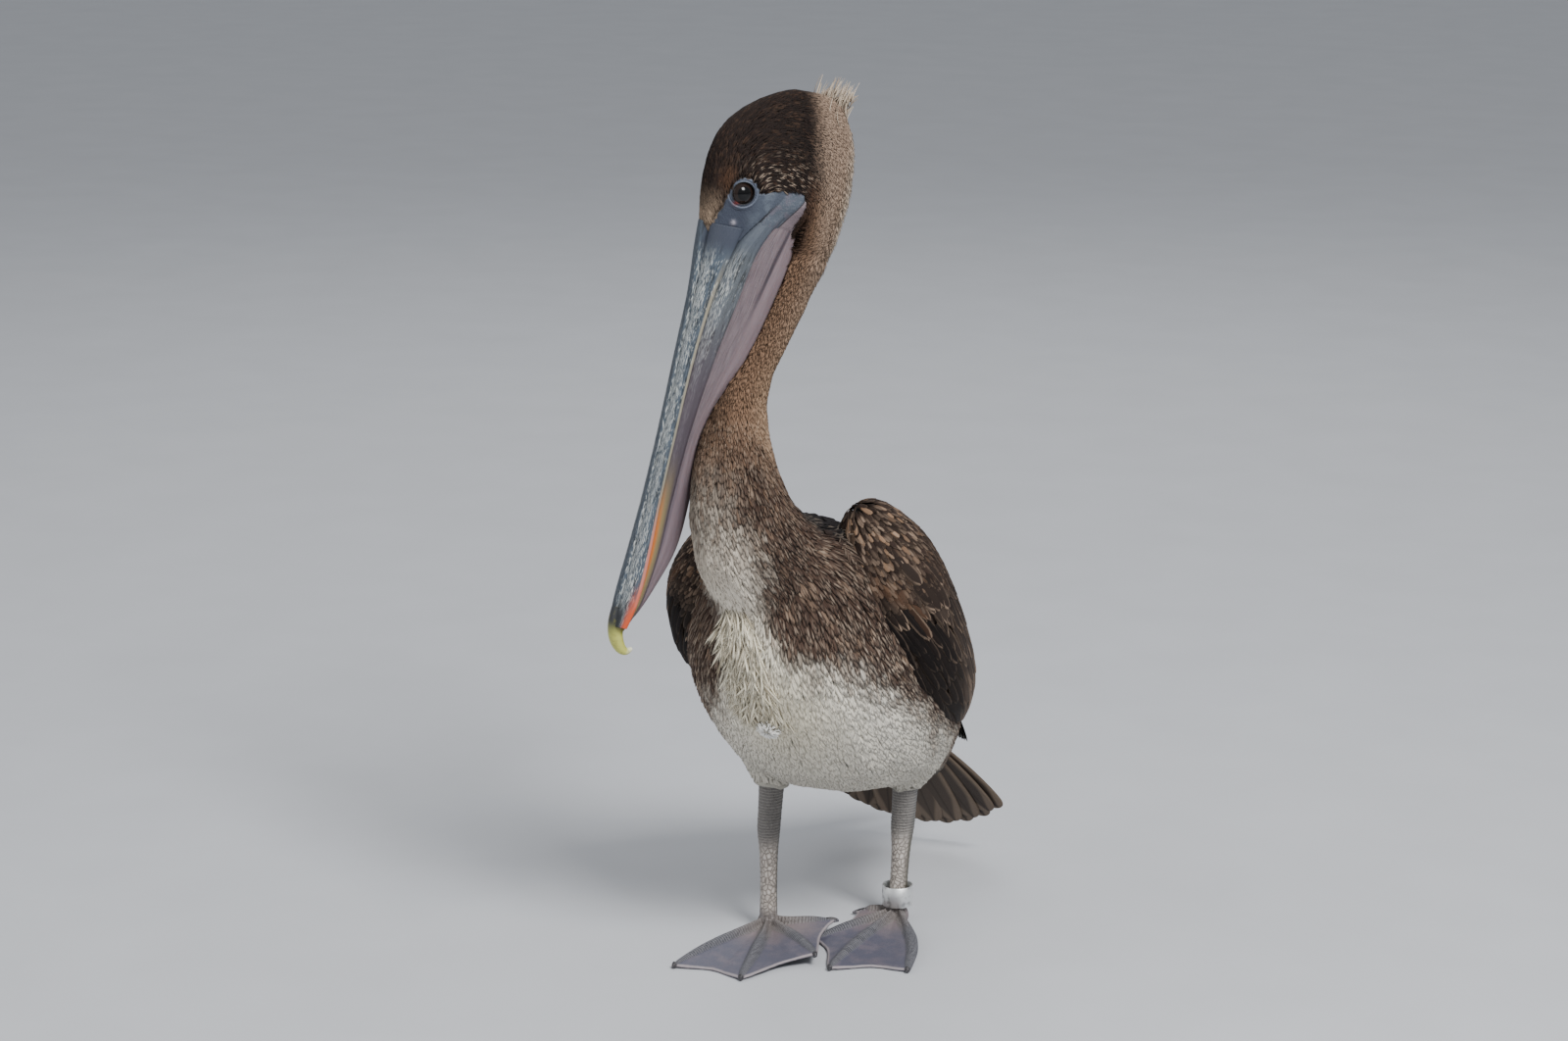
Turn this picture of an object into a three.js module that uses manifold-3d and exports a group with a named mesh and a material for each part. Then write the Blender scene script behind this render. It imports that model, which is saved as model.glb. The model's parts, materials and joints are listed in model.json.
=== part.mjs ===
// A young brown pelican standing on both feet, head turned to its right, bill pointing down.
// Millimetres, +Z up. The bird faces -Y and its left side is +X. The soles stand on Z = 0.
import * as THREE from "three";
import { mergeVertices } from "three/addons/utils/BufferGeometryUtils.js";
import Module from "manifold-3d";

const wasm = await Module();
wasm.setup();

// ---------------------------------------------------------------- driving dimensions
const CUT = 0.3; // gap between pieces that touch

// The trunk lies along a sloping axis. Places on the body are given as x (left), q (along the
// axis, backwards and down) and p (towards the back).
const TRUNK_START = [0, -55, 300];
const TRUNK_PITCH = 42;

// Trunk stations: x, q, p, depth to the back, depth to the belly, half width.
const TRUNK = [
  [0, -78, 2, 14, 18, 20],
  [-1, -64, 2, 34, 50, 46],
  [-3, -38, 1, 54, 80, 72],
  [-6, 2, 0, 68, 99, 92],
  [-7, 60, -2, 76, 106, 99],
  [-5, 120, -3, 74, 106, 97],
  [-1, 180, 0, 64, 80, 84],
  [0, 236, 7, 48, 48, 62],
  [-2, 286, 15, 29, 26, 42],
  [-5, 320, 18, 14, 12, 32],
  [-8, 346, 18, 5, 5, 22],
];
const BACK_ROUNDNESS = 1.65; // 2 is an ellipse, less is leaner, more is squarer
const BELLY_ROUNDNESS = 2.5;
const TRUNK_SIDES = 18;

// Folded wing stations: q, p, x of the middle, half height, half thickness, lean in degrees.
const WING = [
  [-66, 42, 54, 11, 9, 34],
  [-55, 34, 58, 29, 24, 34],
  [-22, 20, 67, 47, 39, 36],
  [28, 14, 67, 61, 43, 37],
  [80, 14, 63, 63, 42, 38],
  [130, 16, 56, 58, 40, 38],
  [180, 21, 46, 48, 33, 38],
  [225, 30, 35, 37, 24, 38],
  [262, 40, 27, 26, 15, 38],
];
const WING_SPLIT_Q = 205;
const WING_SIDES = 14;
const WING_ROUNDNESS = [2.2, 2.2];
const WING_SAG = { left: 0, right: 20 }; // how far each wing hangs towards the belly

// Folded primaries: each is a blade from under the coverts to its own tip.
const PRIMARY_COUNT = 4;
const PRIMARY_ROOT = { q: 175, p: 32, x: 46 };
const PRIMARY_TIP = { q: 384, p: 70, x: 15 };
const PRIMARY_ROOT_STEP = 5;
const PRIMARY_STEP = { q: -28, p: -11, x: 5 }; // from one tip to the next lower one
const PRIMARY_LEAN = 0.7; // how much the blades face the back, against the side
const PRIMARY_BLADE = { halfWidth: 16, halfThickness: 3.2, steps: 4 };

// Tail fan.
const TAIL_FEATHERS = 9;
const TAIL_ROOT = [-19, 168, 136];
const TAIL_LENGTH = 154;
const TAIL_DROP = 50; // slope below the horizontal
const TAIL_SPREAD = 52; // angle from the first feather to the last
const TAIL_TAPER = 0.12; // how much shorter the outer feathers are
const TAIL_BLADE = { halfWidth: 13, halfThickness: 1.6, steps: 3 };
const TAIL_DISH = 2; // how much higher the outer feathers lie
const TAIL_ROOT_HALF = 14; // half the width of the row of roots

// The outline of one long feather: width at the root, how blunt the tip is, and its thinning.
const BLADE_ROOT_WIDTH = 0.7;
const BLADE_BLUNTNESS = 12;
const BLADE_TIP_LEAST = 0.2;
const BLADE_THINNING = 0.55;

// Neck line, from inside the chest to inside the head: x, y, z, radius.
const NECK = [
  [-4, -58, 314, 42],
  [-17, -94, 332, 52],
  [-29, -115, 370, 43],
  [-42, -102, 420, 30.5],
  [-46, -79, 468, 22.5],
  [-29, -59, 516, 21],
  [-10, -46, 565, 22],
  [-2, -43, 606, 24],
];
const NECK_SPLIT_Z = 440;

// Head frame: the root of the bill's ridge, the head's turn to the right and the bill's slope.
// Places on the head are given as side (left), s (along the bill) and n (towards the ridge side).
const BILL_ROOT = [-67.4, -108.1, 591];
const HEAD_TURN = 46;
const BILL_PITCH = 78;

// Head stations: s, front n, rear n, half width.
const HEAD = [
  [6, -1.5, -108, 19],
  [-12, 2, -111, 23],
  [-32, 4, -113, 26],
  [-52, 3.5, -112, 27.5],
  [-70, -0.5, -110, 27.5],
  [-85, -9, -107, 25],
  [-98, -23, -102, 20],
  [-108, -39, -95, 13],
  [-114, -53, -86, 6],
];
const HEAD_WIDEST = 0.46; // from the front
const HEAD_SIDES = 16;
const HEAD_ROUNDNESS = [2.5, 2.5];

// Crest: s, n of the middle, half depth, half width.
const CREST = [
  [-92, -88, 24, 13],
  [-108, -84, 17, 10],
  [-121, -79, 9, 6],
  [-131, -73, 2.5, 2],
];

// Bill stations. Upper: s, ridge n, edge n, half width.
const BILL_UPPER = [
  [-6, 1, -29, 20],
  [14, 0.5, -23.5, 20],
  [50, -1.3, -16, 17],
  [100, -0.3, -11.3, 14.5],
  [155, 0.9, -9, 13.5],
  [205, 3, -6.8, 14.2],
  [250, 6.6, -5.8, 16.2],
  [284, 10, -3.8, 16.6],
  [308, 10.6, 0, 12.5],
];
// Across one half of the upper bill: side share of the half width, height share.
const BILL_PALATE = [0, 0.14];
const BILL_SECTION = [
  [0, 1],
  [0.2, 0.95],
  [0.32, 0.74],
  [0.5, 0.8],
  [0.82, 0.62],
  [1, 0.26],
  [0.94, 0.02],
  [0.5, 0.1],
];
// Nail: s, n of the middle, half height, half width.
const NAIL = [
  [294, 5, 5.2, 8],
  [306, 5.4, 5.6, 8.4],
  [317, 3.4, 5.4, 7],
  [325, -1.6, 4.4, 5],
  [327.6, -7, 3, 3.4],
  [325, -11.5, 1.2, 1.4],
];
// Lower mandible: s, top n, bottom n, half width.
const BILL_LOWER = [
  [-30, -44, -68, 15],
  [-14, -36, -58, 20],
  [12, -23, -46, 20],
  [50, -14, -39, 17.5],
  [100, -9, -29.5, 15],
  [155, -6, -22, 13.5],
  [205, -4, -18, 13.5],
  [250, -3, -15.2, 14.5],
  [284, -1, -10.5, 12],
  [303, 1, -4.5, 7],
];
// Pouch: s, top n, bottom n, half width at the top, half width at the bottom.
const POUCH = [
  [-34, -66, -79, 13, 10],
  [-12, -50, -79, 18, 14],
  [12, -38, -78, 18, 13],
  [50, -32, -70, 16, 10],
  [95, -23, -58, 14, 7],
  [130, -19, -43, 12.5, 5],
  [165, -15, -34.5, 11.5, 4.5],
  [210, -12, -34.5, 11.5, 5],
  [245, -11, -31, 12, 5],
  [280, -7, -19, 9, 4],
  [302, -2, -10, 4.5, 2],
];

const POUCH_SQUARENESS = 1.12;
const EYE_PLACE = { side: 17.6, s: -32.3, n: -20.4 };
const EYE_RADIUS = 9.5;

// Legs: ankle and heel joint on the floor plan, with the direction the middle toe points.
const LEGS = {
  right: {
    ankle: [-60, 10],
    heel: [-60, 11, 85],
    top: [-58, 12, 122],
    thigh: [-56, 16, 170],
  },
  left: {
    ankle: [28, 71],
    heel: [32, 73, 80],
    top: [36, 68, 116],
    thigh: [40, 62, 160],
  },
};
const SHANK_HALF_WIDTH = 5.8;
const SHANK_HALF_DEPTH = 9.5;
const KNOB_HALF_WIDTH = 10.2;
const KNOB_HALF_DEPTH = 12;
const THIGH_RADIUS = 38;

// Toe tips: x, y, height of the toe's middle there, and how far the toe bows to the left. The
// right foot's inner toe, first toe and the web between them lie over the left foot's inner toe.
const TOES = {
  right: {
    outer: [-94.4, -105.7, 3.2, -3],
    middle: [-34.2, -111.9, 3.2, 2],
    inner: [9.3, -60, 11, 3],
    first: [-3.7, 22.5, 12.4, -4],
  },
  left: {
    outer: [80.3, -46.6, 3.2, 8],
    middle: [21.5, -64.9, 3.2, -2],
    inner: [-15, -8, 2.9, -2],
    first: [-9.2, 67, 4, -3],
  },
};
const BALL_HEIGHT = 7;
const TOE_RADIUS = { root: 5.8, middle: 4.8, tip: 3, claw: 1.2 };
const CLAW_LENGTH = 12;
const WEB_THICKNESS = 2.2;
const WEB_REACH = 0.9; // share of the toes that the web follows
const WEB_SCALLOP = 0.14; // how far its free edge is drawn in
const WEB_SLACK = 1.6; // how far it sags between the toes
const WEB_LOWEST = 1.6;
const WEB_LINES = [0.3, 0.7]; // shares of the way from toe to toe
const FOOT_START = 0.05; // share of each toe hidden inside the ball
const TOES_PART_AT = 0.35; // share of the toes where each has its full width
const TOE_NAMES = ["outer", "middle", "inner", "first"];

// Leg band.
const BAND = { bottom: 13.5, height: 17, inner: 11.4, wall: 1.2 };

// ---------------------------------------------------------------- frames
const UP = new THREE.Vector3(0, 0, 1);
const LEFT = new THREE.Vector3(1, 0, 0);
const TAILWARD = new THREE.Vector3(0, cosine(TRUNK_PITCH), -sine(TRUNK_PITCH));
const BACKWARD = new THREE.Vector3(0, sine(TRUNK_PITCH), cosine(TRUNK_PITCH));

const HEADING = new THREE.Vector3(-sine(HEAD_TURN), -cosine(HEAD_TURN), 0);
const HEAD_SIDE = new THREE.Vector3(cosine(HEAD_TURN), -sine(HEAD_TURN), 0);
const BILL_WAY = new THREE.Vector3(0, 0, -sine(BILL_PITCH));
BILL_WAY.addScaledVector(HEADING, cosine(BILL_PITCH));
const RIDGE_WAY = new THREE.Vector3(0, 0, cosine(BILL_PITCH));
RIDGE_WAY.addScaledVector(HEADING, sine(BILL_PITCH));

function cosine(degrees) {
  return Math.cos(THREE.MathUtils.degToRad(degrees));
}

function sine(degrees) {
  return Math.sin(THREE.MathUtils.degToRad(degrees));
}

function bodyPoint(x, q, p) {
  return new THREE.Vector3(...TRUNK_START)
    .addScaledVector(LEFT, x)
    .addScaledVector(TAILWARD, q)
    .addScaledVector(BACKWARD, p);
}

function headPoint(side, s, n) {
  return new THREE.Vector3(...BILL_ROOT)
    .addScaledVector(HEAD_SIDE, side)
    .addScaledVector(BILL_WAY, s)
    .addScaledVector(RIDGE_WAY, n);
}

// ---------------------------------------------------------------- lofts
// The row of numbers at t, from 0 to 1, on a smooth curve through evenly counted rows.
function rowAt(rows, t) {
  const place = t * (rows.length - 1);
  const start = Math.min(Math.floor(place), rows.length - 2);
  const share = place - start;
  const row = (k) => rows[THREE.MathUtils.clamp(k, 0, rows.length - 1)];
  return rows[0].map((unused, column) => {
    const [a, b, c, d] = [-1, 0, 1, 2].map((k) => row(start + k)[column]);
    const bend = 2 * a - 5 * b + 4 * c - d;
    const twist = 3 * b - 3 * c + d - a;
    return b + 0.5 * share * (c - a + share * (bend + share * twist));
  });
}

// An oval ring of points: half width to each side, and depths [above, below]. Roundness is for
// the two halves in the same order, and 2 is an ellipse.
function ovalRing(middle, side, up, halfWidth, depths, count, roundness = [2, 2]) {
  const ring = [];
  for (let k = 0; k < count; k++) {
    const turn = (2 * Math.PI * k) / count;
    const half = Math.sin(turn) > 0 ? 0 : 1;
    const power = 2 / roundness[half];
    const across = Math.sign(Math.cos(turn)) * Math.abs(Math.cos(turn)) ** power;
    const upward = Math.sign(Math.sin(turn)) * Math.abs(Math.sin(turn)) ** power;
    const spot = middle.clone().addScaledVector(side, across * halfWidth);
    ring.push(spot.addScaledVector(up, upward * depths[half]));
  }
  return ring;
}

// A closed skin through rings with equal numbers of points, its two ends filled by fans.
function skinRings(rings) {
  const count = rings[0].length;
  const points = rings.flat();
  const ends = [rings[0], rings[rings.length - 1]];
  for (const ring of ends) {
    const sum = ring.reduce((total, point) => total.add(point), new THREE.Vector3());
    points.push(sum.divideScalar(count));
  }
  const firstEnd = points.length - 2;
  const lastEnd = points.length - 1;
  const lastRing = (rings.length - 1) * count;
  const index = [];
  for (let k = 0; k < count; k++) {
    const next = (k + 1) % count;
    for (let start = 0; start < lastRing; start += count) {
      index.push(start + k, start + next, start + count + k);
      index.push(start + next, start + count + next, start + count + k);
    }
    index.push(firstEnd, next, k);
    index.push(lastEnd, lastRing + k, lastRing + next);
  }
  return solidFrom(points, index);
}

// A manifold solid from points and triangles, turned so that its faces point out.
function solidFrom(points, index) {
  let volume = 0;
  for (let k = 0; k < index.length; k += 3) {
    const [a, b, c] = index.slice(k, k + 3).map((i) => points[i]);
    volume += a.dot(b.clone().cross(c));
  }
  const triVerts = Uint32Array.from(volume < 0 ? index.toReversed() : index);
  const vertProperties = Float32Array.from(points.flatMap((point) => point.toArray()));
  const solid = new wasm.Manifold(new wasm.Mesh({ numProp: 3, vertProperties, triVerts }));
  if (solid.status() !== "NoError") {
    throw new Error(`a solid isn't closed: ${solid.status()}`);
  }
  return solid;
}

function solidFromGeometry(geometry) {
  const bare = geometry.clone();
  bare.deleteAttribute("normal");
  bare.deleteAttribute("uv");
  const merged = mergeVertices(bare, 1e-4);
  const places = merged.getAttribute("position");
  const points = [];
  for (let k = 0; k < places.count; k++) {
    points.push(new THREE.Vector3().fromBufferAttribute(places, k));
  }
  return solidFrom(points, Array.from(merged.index.array));
}

function boxSolid(width, depth, height, middle) {
  const box = new THREE.BoxGeometry(width, depth, height);
  box.translate(middle.x, middle.y, middle.z);
  return solidFromGeometry(box);
}

// Everything above a level, as a very large box.
function above(level) {
  const size = 4000;
  return boxSolid(size, size, size, new THREE.Vector3(0, 0, level + size / 2));
}

function below(level) {
  const size = 4000;
  return boxSolid(size, size, size, new THREE.Vector3(0, 0, level - size / 2));
}

// Everything on one side of the plane through a point, as a very large turned box.
function beyond(point, way) {
  const size = 4000;
  const box = new THREE.BoxGeometry(size, size, size);
  box.translate(0, 0, size / 2);
  box.applyQuaternion(new THREE.Quaternion().setFromUnitVectors(UP, way));
  box.translate(point.x, point.y, point.z);
  return solidFromGeometry(box);
}

function joined(solids) {
  return solids.reduce((whole, solid) => whole.add(solid));
}

function without(solid, holes) {
  return holes.reduce((left, hole) => left.subtract(hole), solid);
}

// The biggest of the bodies that a cut leaves: thin slivers beside it are dropped.
function biggest(solid) {
  return solid.decompose().reduce((best, body) => (body.volume() > best.volume() ? body : best));
}

// A tube through rows [x, y, z, half width, half depth]. With level given, that way is the width's.
function tube(rows, { steps, sides, grow = 0, level = null }) {
  const line = new THREE.CatmullRomCurve3(rows.map((row) => new THREE.Vector3(...row.slice(0, 3))));
  const frames = line.computeFrenetFrames(steps, false);
  const rings = [];
  for (let k = 0; k <= steps; k++) {
    const t = k / steps;
    const middle = line.getPoint(t);
    const tangent = line.getTangent(t);
    middle.addScaledVector(tangent, grow * (2 * t - 1));
    const row = rowAt(rows, t);
    const halfWidth = row[3] + grow;
    const halfDepth = (row[4] ?? row[3]) + grow;
    const side = level ? level.clone() : frames.normals[k];
    const up = level ? new THREE.Vector3().crossVectors(side, tangent).normalize() : frames.binormals[k];
    rings.push(ovalRing(middle, side, up, halfWidth, [halfDepth, halfDepth], sides));
  }
  return skinRings(rings);
}

// ---------------------------------------------------------------- body
function trunkSolid(grow = 0) {
  const steps = 15;
  const rings = [];
  for (let k = 0; k <= steps; k++) {
    const t = k / steps;
    const [x, q, p, back, belly, half] = rowAt(TRUNK, t);
    const middle = bodyPoint(x, q + grow * (2 * t - 1), p);
    const depths = [back + grow, belly + grow];
    const roundness = [BACK_ROUNDNESS, BELLY_ROUNDNESS];
    rings.push(ovalRing(middle, LEFT, BACKWARD, half + grow, depths, TRUNK_SIDES, roundness));
  }
  return skinRings(rings);
}

function wingSolid(sideSign, grow = 0) {
  const steps = 11;
  const sag = sideSign > 0 ? WING_SAG.left : WING_SAG.right;
  const rings = [];
  for (let k = 0; k <= steps; k++) {
    const t = k / steps;
    const [q, p, x, height, thickness, lean] = rowAt(WING, t);
    const out = new THREE.Vector3(sideSign, 0, 0).multiplyScalar(cosine(lean));
    out.addScaledVector(BACKWARD, sine(lean));
    const up = new THREE.Vector3(-sideSign, 0, 0).multiplyScalar(sine(lean));
    up.addScaledVector(BACKWARD, cosine(lean));
    const middle = bodyPoint(sideSign * x, q + grow * (2 * t - 1), p - sag * (1 - t));
    const depths = [height + grow, height + grow];
    rings.push(ovalRing(middle, out, up, thickness + grow, depths, WING_SIDES, WING_ROUNDNESS));
  }
  return skinRings(rings);
}

// One long feather lying from root to tip, its blade leaning like the wing there.
function blade(root, tip, face, { halfWidth, halfThickness, steps, grow = 0 }) {
  const way = tip.clone().sub(root);
  const side = new THREE.Vector3().crossVectors(way, face).normalize();
  const up = new THREE.Vector3().crossVectors(side, way).normalize();
  const rings = [];
  for (let k = 0; k <= steps; k++) {
    const t = 1 - (1 - k / steps) ** 2;
    const rounding = Math.max(Math.sqrt(1 - t ** BLADE_BLUNTNESS), BLADE_TIP_LEAST);
    const swell = THREE.MathUtils.lerp(BLADE_ROOT_WIDTH, 1, Math.sin(Math.PI * t));
    const width = halfWidth * rounding * swell + grow;
    const thickness = halfThickness * (1 - BLADE_THINNING * t) + grow;
    const middle = root.clone().addScaledVector(way, t + (grow * (2 * t - 1)) / way.length());
    rings.push(ovalRing(middle, side, up, width, [thickness, thickness], 6));
  }
  return skinRings(rings);
}

function primariesSolid(sideSign, grow = 0) {
  const blades = [];
  for (let k = 0; k < PRIMARY_COUNT; k++) {
    const rootDepth = PRIMARY_ROOT.p - PRIMARY_ROOT_STEP * k;
    const root = bodyPoint(sideSign * PRIMARY_ROOT.x, PRIMARY_ROOT.q, rootDepth);
    const tip = bodyPoint(
      sideSign * (PRIMARY_TIP.x + k * PRIMARY_STEP.x),
      PRIMARY_TIP.q + k * PRIMARY_STEP.q,
      PRIMARY_TIP.p + k * PRIMARY_STEP.p,
    );
    const face = new THREE.Vector3(sideSign, 0, 0).addScaledVector(BACKWARD, PRIMARY_LEAN).normalize();
    blades.push(blade(root, tip, face, { ...PRIMARY_BLADE, grow }));
  }
  return joined(blades);
}

function tailSolid() {
  const feathers = [];
  for (let k = 0; k < TAIL_FEATHERS; k++) {
    const share = (2 * k) / (TAIL_FEATHERS - 1) - 1;
    const turn = (share * TAIL_SPREAD) / 2;
    const drop = TAIL_DROP - TAIL_DISH * share * share;
    const way = new THREE.Vector3(sine(turn), cosine(turn) * cosine(drop), -cosine(turn) * sine(drop));
    const root = new THREE.Vector3(...TAIL_ROOT).addScaledVector(LEFT, share * TAIL_ROOT_HALF);
    const length = TAIL_LENGTH * (1 - TAIL_TAPER * share * share);
    const tip = root.clone().addScaledVector(way, length);
    const face = new THREE.Vector3(0, sine(drop), cosine(drop));
    feathers.push(blade(root, tip, face, TAIL_BLADE));
  }
  return joined(feathers);
}

function neckSolid(grow = 0) {
  return tube(NECK, { steps: 13, sides: 14, grow });
}

// ---------------------------------------------------------------- head and bill
function headSolid(grow = 0) {
  const steps = 10;
  const rings = [];
  for (let k = 0; k <= steps; k++) {
    const t = k / steps;
    const [s, front, rear, half] = rowAt(HEAD, t);
    const widest = THREE.MathUtils.lerp(front, rear, HEAD_WIDEST);
    const middle = headPoint(0, s - grow * (2 * t - 1), widest);
    const depths = [front - widest + grow, widest - rear + grow];
    rings.push(
      ovalRing(middle, HEAD_SIDE, RIDGE_WAY, half + grow, depths, HEAD_SIDES, HEAD_ROUNDNESS),
    );
  }
  return skinRings(rings);
}

function crestSolid() {
  const rings = CREST.map(([s, n, depth, half]) =>
    ovalRing(headPoint(0, s, n), HEAD_SIDE, RIDGE_WAY, half, [depth, depth], 10),
  );
  return skinRings(rings);
}

function billUpperSolid(grow = 0) {
  const steps = 11;
  const inward = BILL_SECTION.slice(1).toReversed();
  const mirrored = inward.map(([across, height]) => [-across, height]);
  const outline = [...BILL_SECTION, BILL_PALATE, ...mirrored];
  const rings = [];
  for (let k = 0; k <= steps; k++) {
    const t = k / steps;
    const [s, ridge, edge, half] = rowAt(BILL_UPPER, t);
    const [low, high] = [edge - grow, ridge + grow];
    const ring = outline.map(([across, height]) =>
      headPoint(across * (half + grow), s + grow * (2 * t - 1), THREE.MathUtils.lerp(low, high, height)),
    );
    rings.push(ring);
  }
  return skinRings(rings);
}

function nailSolid(grow = 0) {
  const middles = NAIL.map(([s, n]) => headPoint(0, s, n));
  const line = new THREE.CatmullRomCurve3(middles);
  const steps = 8;
  const rings = [];
  for (let k = 0; k <= steps; k++) {
    const t = k / steps;
    const [, , height, half] = rowAt(NAIL, t);
    const middle = line.getPoint(t).addScaledVector(line.getTangent(t), grow * (2 * t - 1));
    const up = new THREE.Vector3().crossVectors(HEAD_SIDE, line.getTangent(t)).normalize();
    rings.push(ovalRing(middle, HEAD_SIDE, up, half + grow, [height + grow, height + grow], 8));
  }
  return skinRings(rings);
}

function billLowerSolid(grow = 0) {
  const steps = 11;
  const rings = [];
  for (let k = 0; k <= steps; k++) {
    const t = k / steps;
    const [s, top, bottom, half] = rowAt(BILL_LOWER, t);
    const reach = (top - bottom) / 2 + grow;
    const middle = headPoint(0, s + grow * (2 * t - 1), (top + bottom) / 2);
    rings.push(ovalRing(middle, HEAD_SIDE, RIDGE_WAY, half + grow, [reach, reach], 10, [3, 3]));
  }
  return skinRings(rings);
}

// The pouch section is wide where it hangs from the jaw and narrow along its lower fold.
function pouchSolid(grow = 0) {
  const steps = 12;
  const count = 10;
  const rings = [];
  for (let k = 0; k <= steps; k++) {
    const t = k / steps;
    const [s, top, bottom, wide, narrow] = rowAt(POUCH, t);
    const reach = (top - bottom) / 2 + grow;
    const ring = [];
    for (let j = 0; j < count; j++) {
      const turn = (2 * Math.PI * (j + 0.5)) / count;
      const height = Math.sin(turn);
      const half = THREE.MathUtils.lerp(narrow, wide, (height + 1) / 2) + grow;
      const n = (top + bottom) / 2 + reach * height;
      ring.push(headPoint(Math.cos(turn) * half * POUCH_SQUARENESS, s + grow * (2 * t - 1), n));
    }
    rings.push(ring);
  }
  return skinRings(rings);
}

function eyeSolid(sideSign, grow = 0) {
  const ball = new THREE.SphereGeometry(EYE_RADIUS + grow, 12, 7);
  const place = headPoint(sideSign * EYE_PLACE.side, EYE_PLACE.s, EYE_PLACE.n);
  ball.translate(place.x, place.y, place.z);
  return solidFromGeometry(ball);
}

// ---------------------------------------------------------------- legs and feet
function footWay(side) {
  const [x, y] = LEGS[side].ankle;
  return new THREE.Vector3(TOES[side].middle[0] - x, TOES[side].middle[1] - y, 0).normalize();
}

function footSide(side) {
  return new THREE.Vector3().crossVectors(footWay(side), UP).negate();
}

function legSolid(side, grow = 0) {
  const { ankle, heel, top } = LEGS[side];
  const between = (share, width, depth) => [
    THREE.MathUtils.lerp(ankle[0], heel[0], share),
    THREE.MathUtils.lerp(ankle[1], heel[1], share),
    THREE.MathUtils.lerp(BALL_HEIGHT, heel[2], share),
    width,
    depth,
  ];
  const rows = [
    between(0, SHANK_HALF_WIDTH + 1, SHANK_HALF_DEPTH),
    between(0.34, SHANK_HALF_WIDTH, SHANK_HALF_DEPTH - 0.5),
    between(0.72, SHANK_HALF_WIDTH + 1, SHANK_HALF_DEPTH),
    between(1, KNOB_HALF_WIDTH, KNOB_HALF_DEPTH),
    [...midpoint(heel, top, 0.5), KNOB_HALF_WIDTH - 1, KNOB_HALF_DEPTH - 1],
    [...midpoint(heel, top, 1.3), KNOB_HALF_WIDTH, KNOB_HALF_DEPTH],
  ];
  return tube(rows, { steps: 8, sides: 10, grow, level: footSide(side) });
}

function midpoint(start, end, share) {
  return start.map((value, k) => THREE.MathUtils.lerp(value, end[k], share));
}

function thighSolid(side) {
  const { top, thigh } = LEGS[side];
  const rows = [
    [...midpoint(top, thigh, 1.25), THIGH_RADIUS * 0.85],
    [...thigh, THIGH_RADIUS],
    [...midpoint(top, thigh, 0.5), THIGH_RADIUS * 0.82],
    [...midpoint(top, thigh, 0.12), THIGH_RADIUS * 0.52],
    [...midpoint(top, thigh, -0.08), THIGH_RADIUS * 0.4],
  ];
  return tube(rows, { steps: 6, sides: 12 });
}

// The middle line of a toe, from the ball of the foot to the claw's tip, and its radii.
function toeShape(side, name) {
  const ball = new THREE.Vector3(...LEGS[side].ankle, BALL_HEIGHT);
  const [x, y, z, bow] = TOES[side][name];
  const tip = new THREE.Vector3(x, y, z);
  const bowWay = new THREE.Vector3().crossVectors(UP, tip.clone().sub(ball)).normalize();
  const clawShare = 1 - CLAW_LENGTH / ball.distanceTo(tip);
  const at = (share, drop) =>
    ball
      .clone()
      .lerp(tip, share)
      .addScaledVector(bowWay, bow * Math.sin(Math.PI * share))
      .addScaledVector(UP, -drop);
  const line = new THREE.CatmullRomCurve3([
    at(0, 0),
    at(0.3, 0.9),
    at(0.62, 0.7),
    at(clawShare, 0.7),
    at(1, 1.6),
  ]);
  const { root, middle, tip: end, claw } = TOE_RADIUS;
  const radii = [[root], [middle + 0.6], [middle], [end], [claw]];
  return { line, radiusAt: (share) => rowAt(radii, share)[0] };
}

// One half of the foot's skin at a share of the way out, along a toe: edge -1 and 1 are its two
// sides, the second towards the next toe, and 0 is its ridge. Heights are the skin's top and bottom.
function toeSpoke({ line, radiusAt }, edge, turn) {
  return (share) => {
    const place = line.getPoint(share);
    const radius = radiusAt(share);
    const across = new THREE.Vector3().crossVectors(UP, line.getTangent(share)).normalize();
    const depth = edge === 0 ? radius : WEB_THICKNESS / 2;
    const freed = Math.min(share / TOES_PART_AT, 1);
    place.addScaledVector(across, turn * edge * radius * freed);
    return { place, top: place.z + depth, bottom: place.z - depth };
  };
}

// A line out over the web, a share of the way across from one toe's edge to the next toe's.
function webSpoke(spokeA, spokeB, across) {
  const reach = WEB_REACH - WEB_SCALLOP * Math.sin(Math.PI * across);
  return (share) => {
    const [a, b] = [spokeA(share * reach), spokeB(share * reach)];
    const place = a.place.clone().lerp(b.place, across);
    const middle = Math.max(place.z - WEB_SLACK * Math.sin(Math.PI * across), WEB_LOWEST);
    return { place, top: middle + WEB_THICKNESS / 2, bottom: middle - WEB_THICKNESS / 2 };
  };
}

function footSolid(side) {
  const toes = TOE_NAMES.map((name) => toeShape(side, name));
  const turn = side === "left" ? -1 : 1;
  const spokes = [];
  toes.forEach((toe, k) => {
    const edges = [-1, 0, 1].map((edge) => toeSpoke(toe, edge, turn));
    const near = (spoke) => (share) => spoke(share * WEB_REACH);
    spokes.push(near(edges[0]), edges[1], near(edges[2]));
    if (k < toes.length - 1) {
      const next = toeSpoke(toes[k + 1], -1, turn);
      spokes.push(...WEB_LINES.map((across) => webSpoke(edges[2], next, across)));
    }
  });
  const [x, y] = LEGS[side].ankle;
  const ball = [
    [x, y, -2, 9],
    [x, y, 4, 10],
    [x, y, 8.5, 9.4],
    [x, y, 12, 7.6],
  ];
  const whole = joined([fanSolid(spokes, 5), tube(ball, { steps: 3, sides: 8 })]);
  return whole.intersect(above(0));
}

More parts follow.
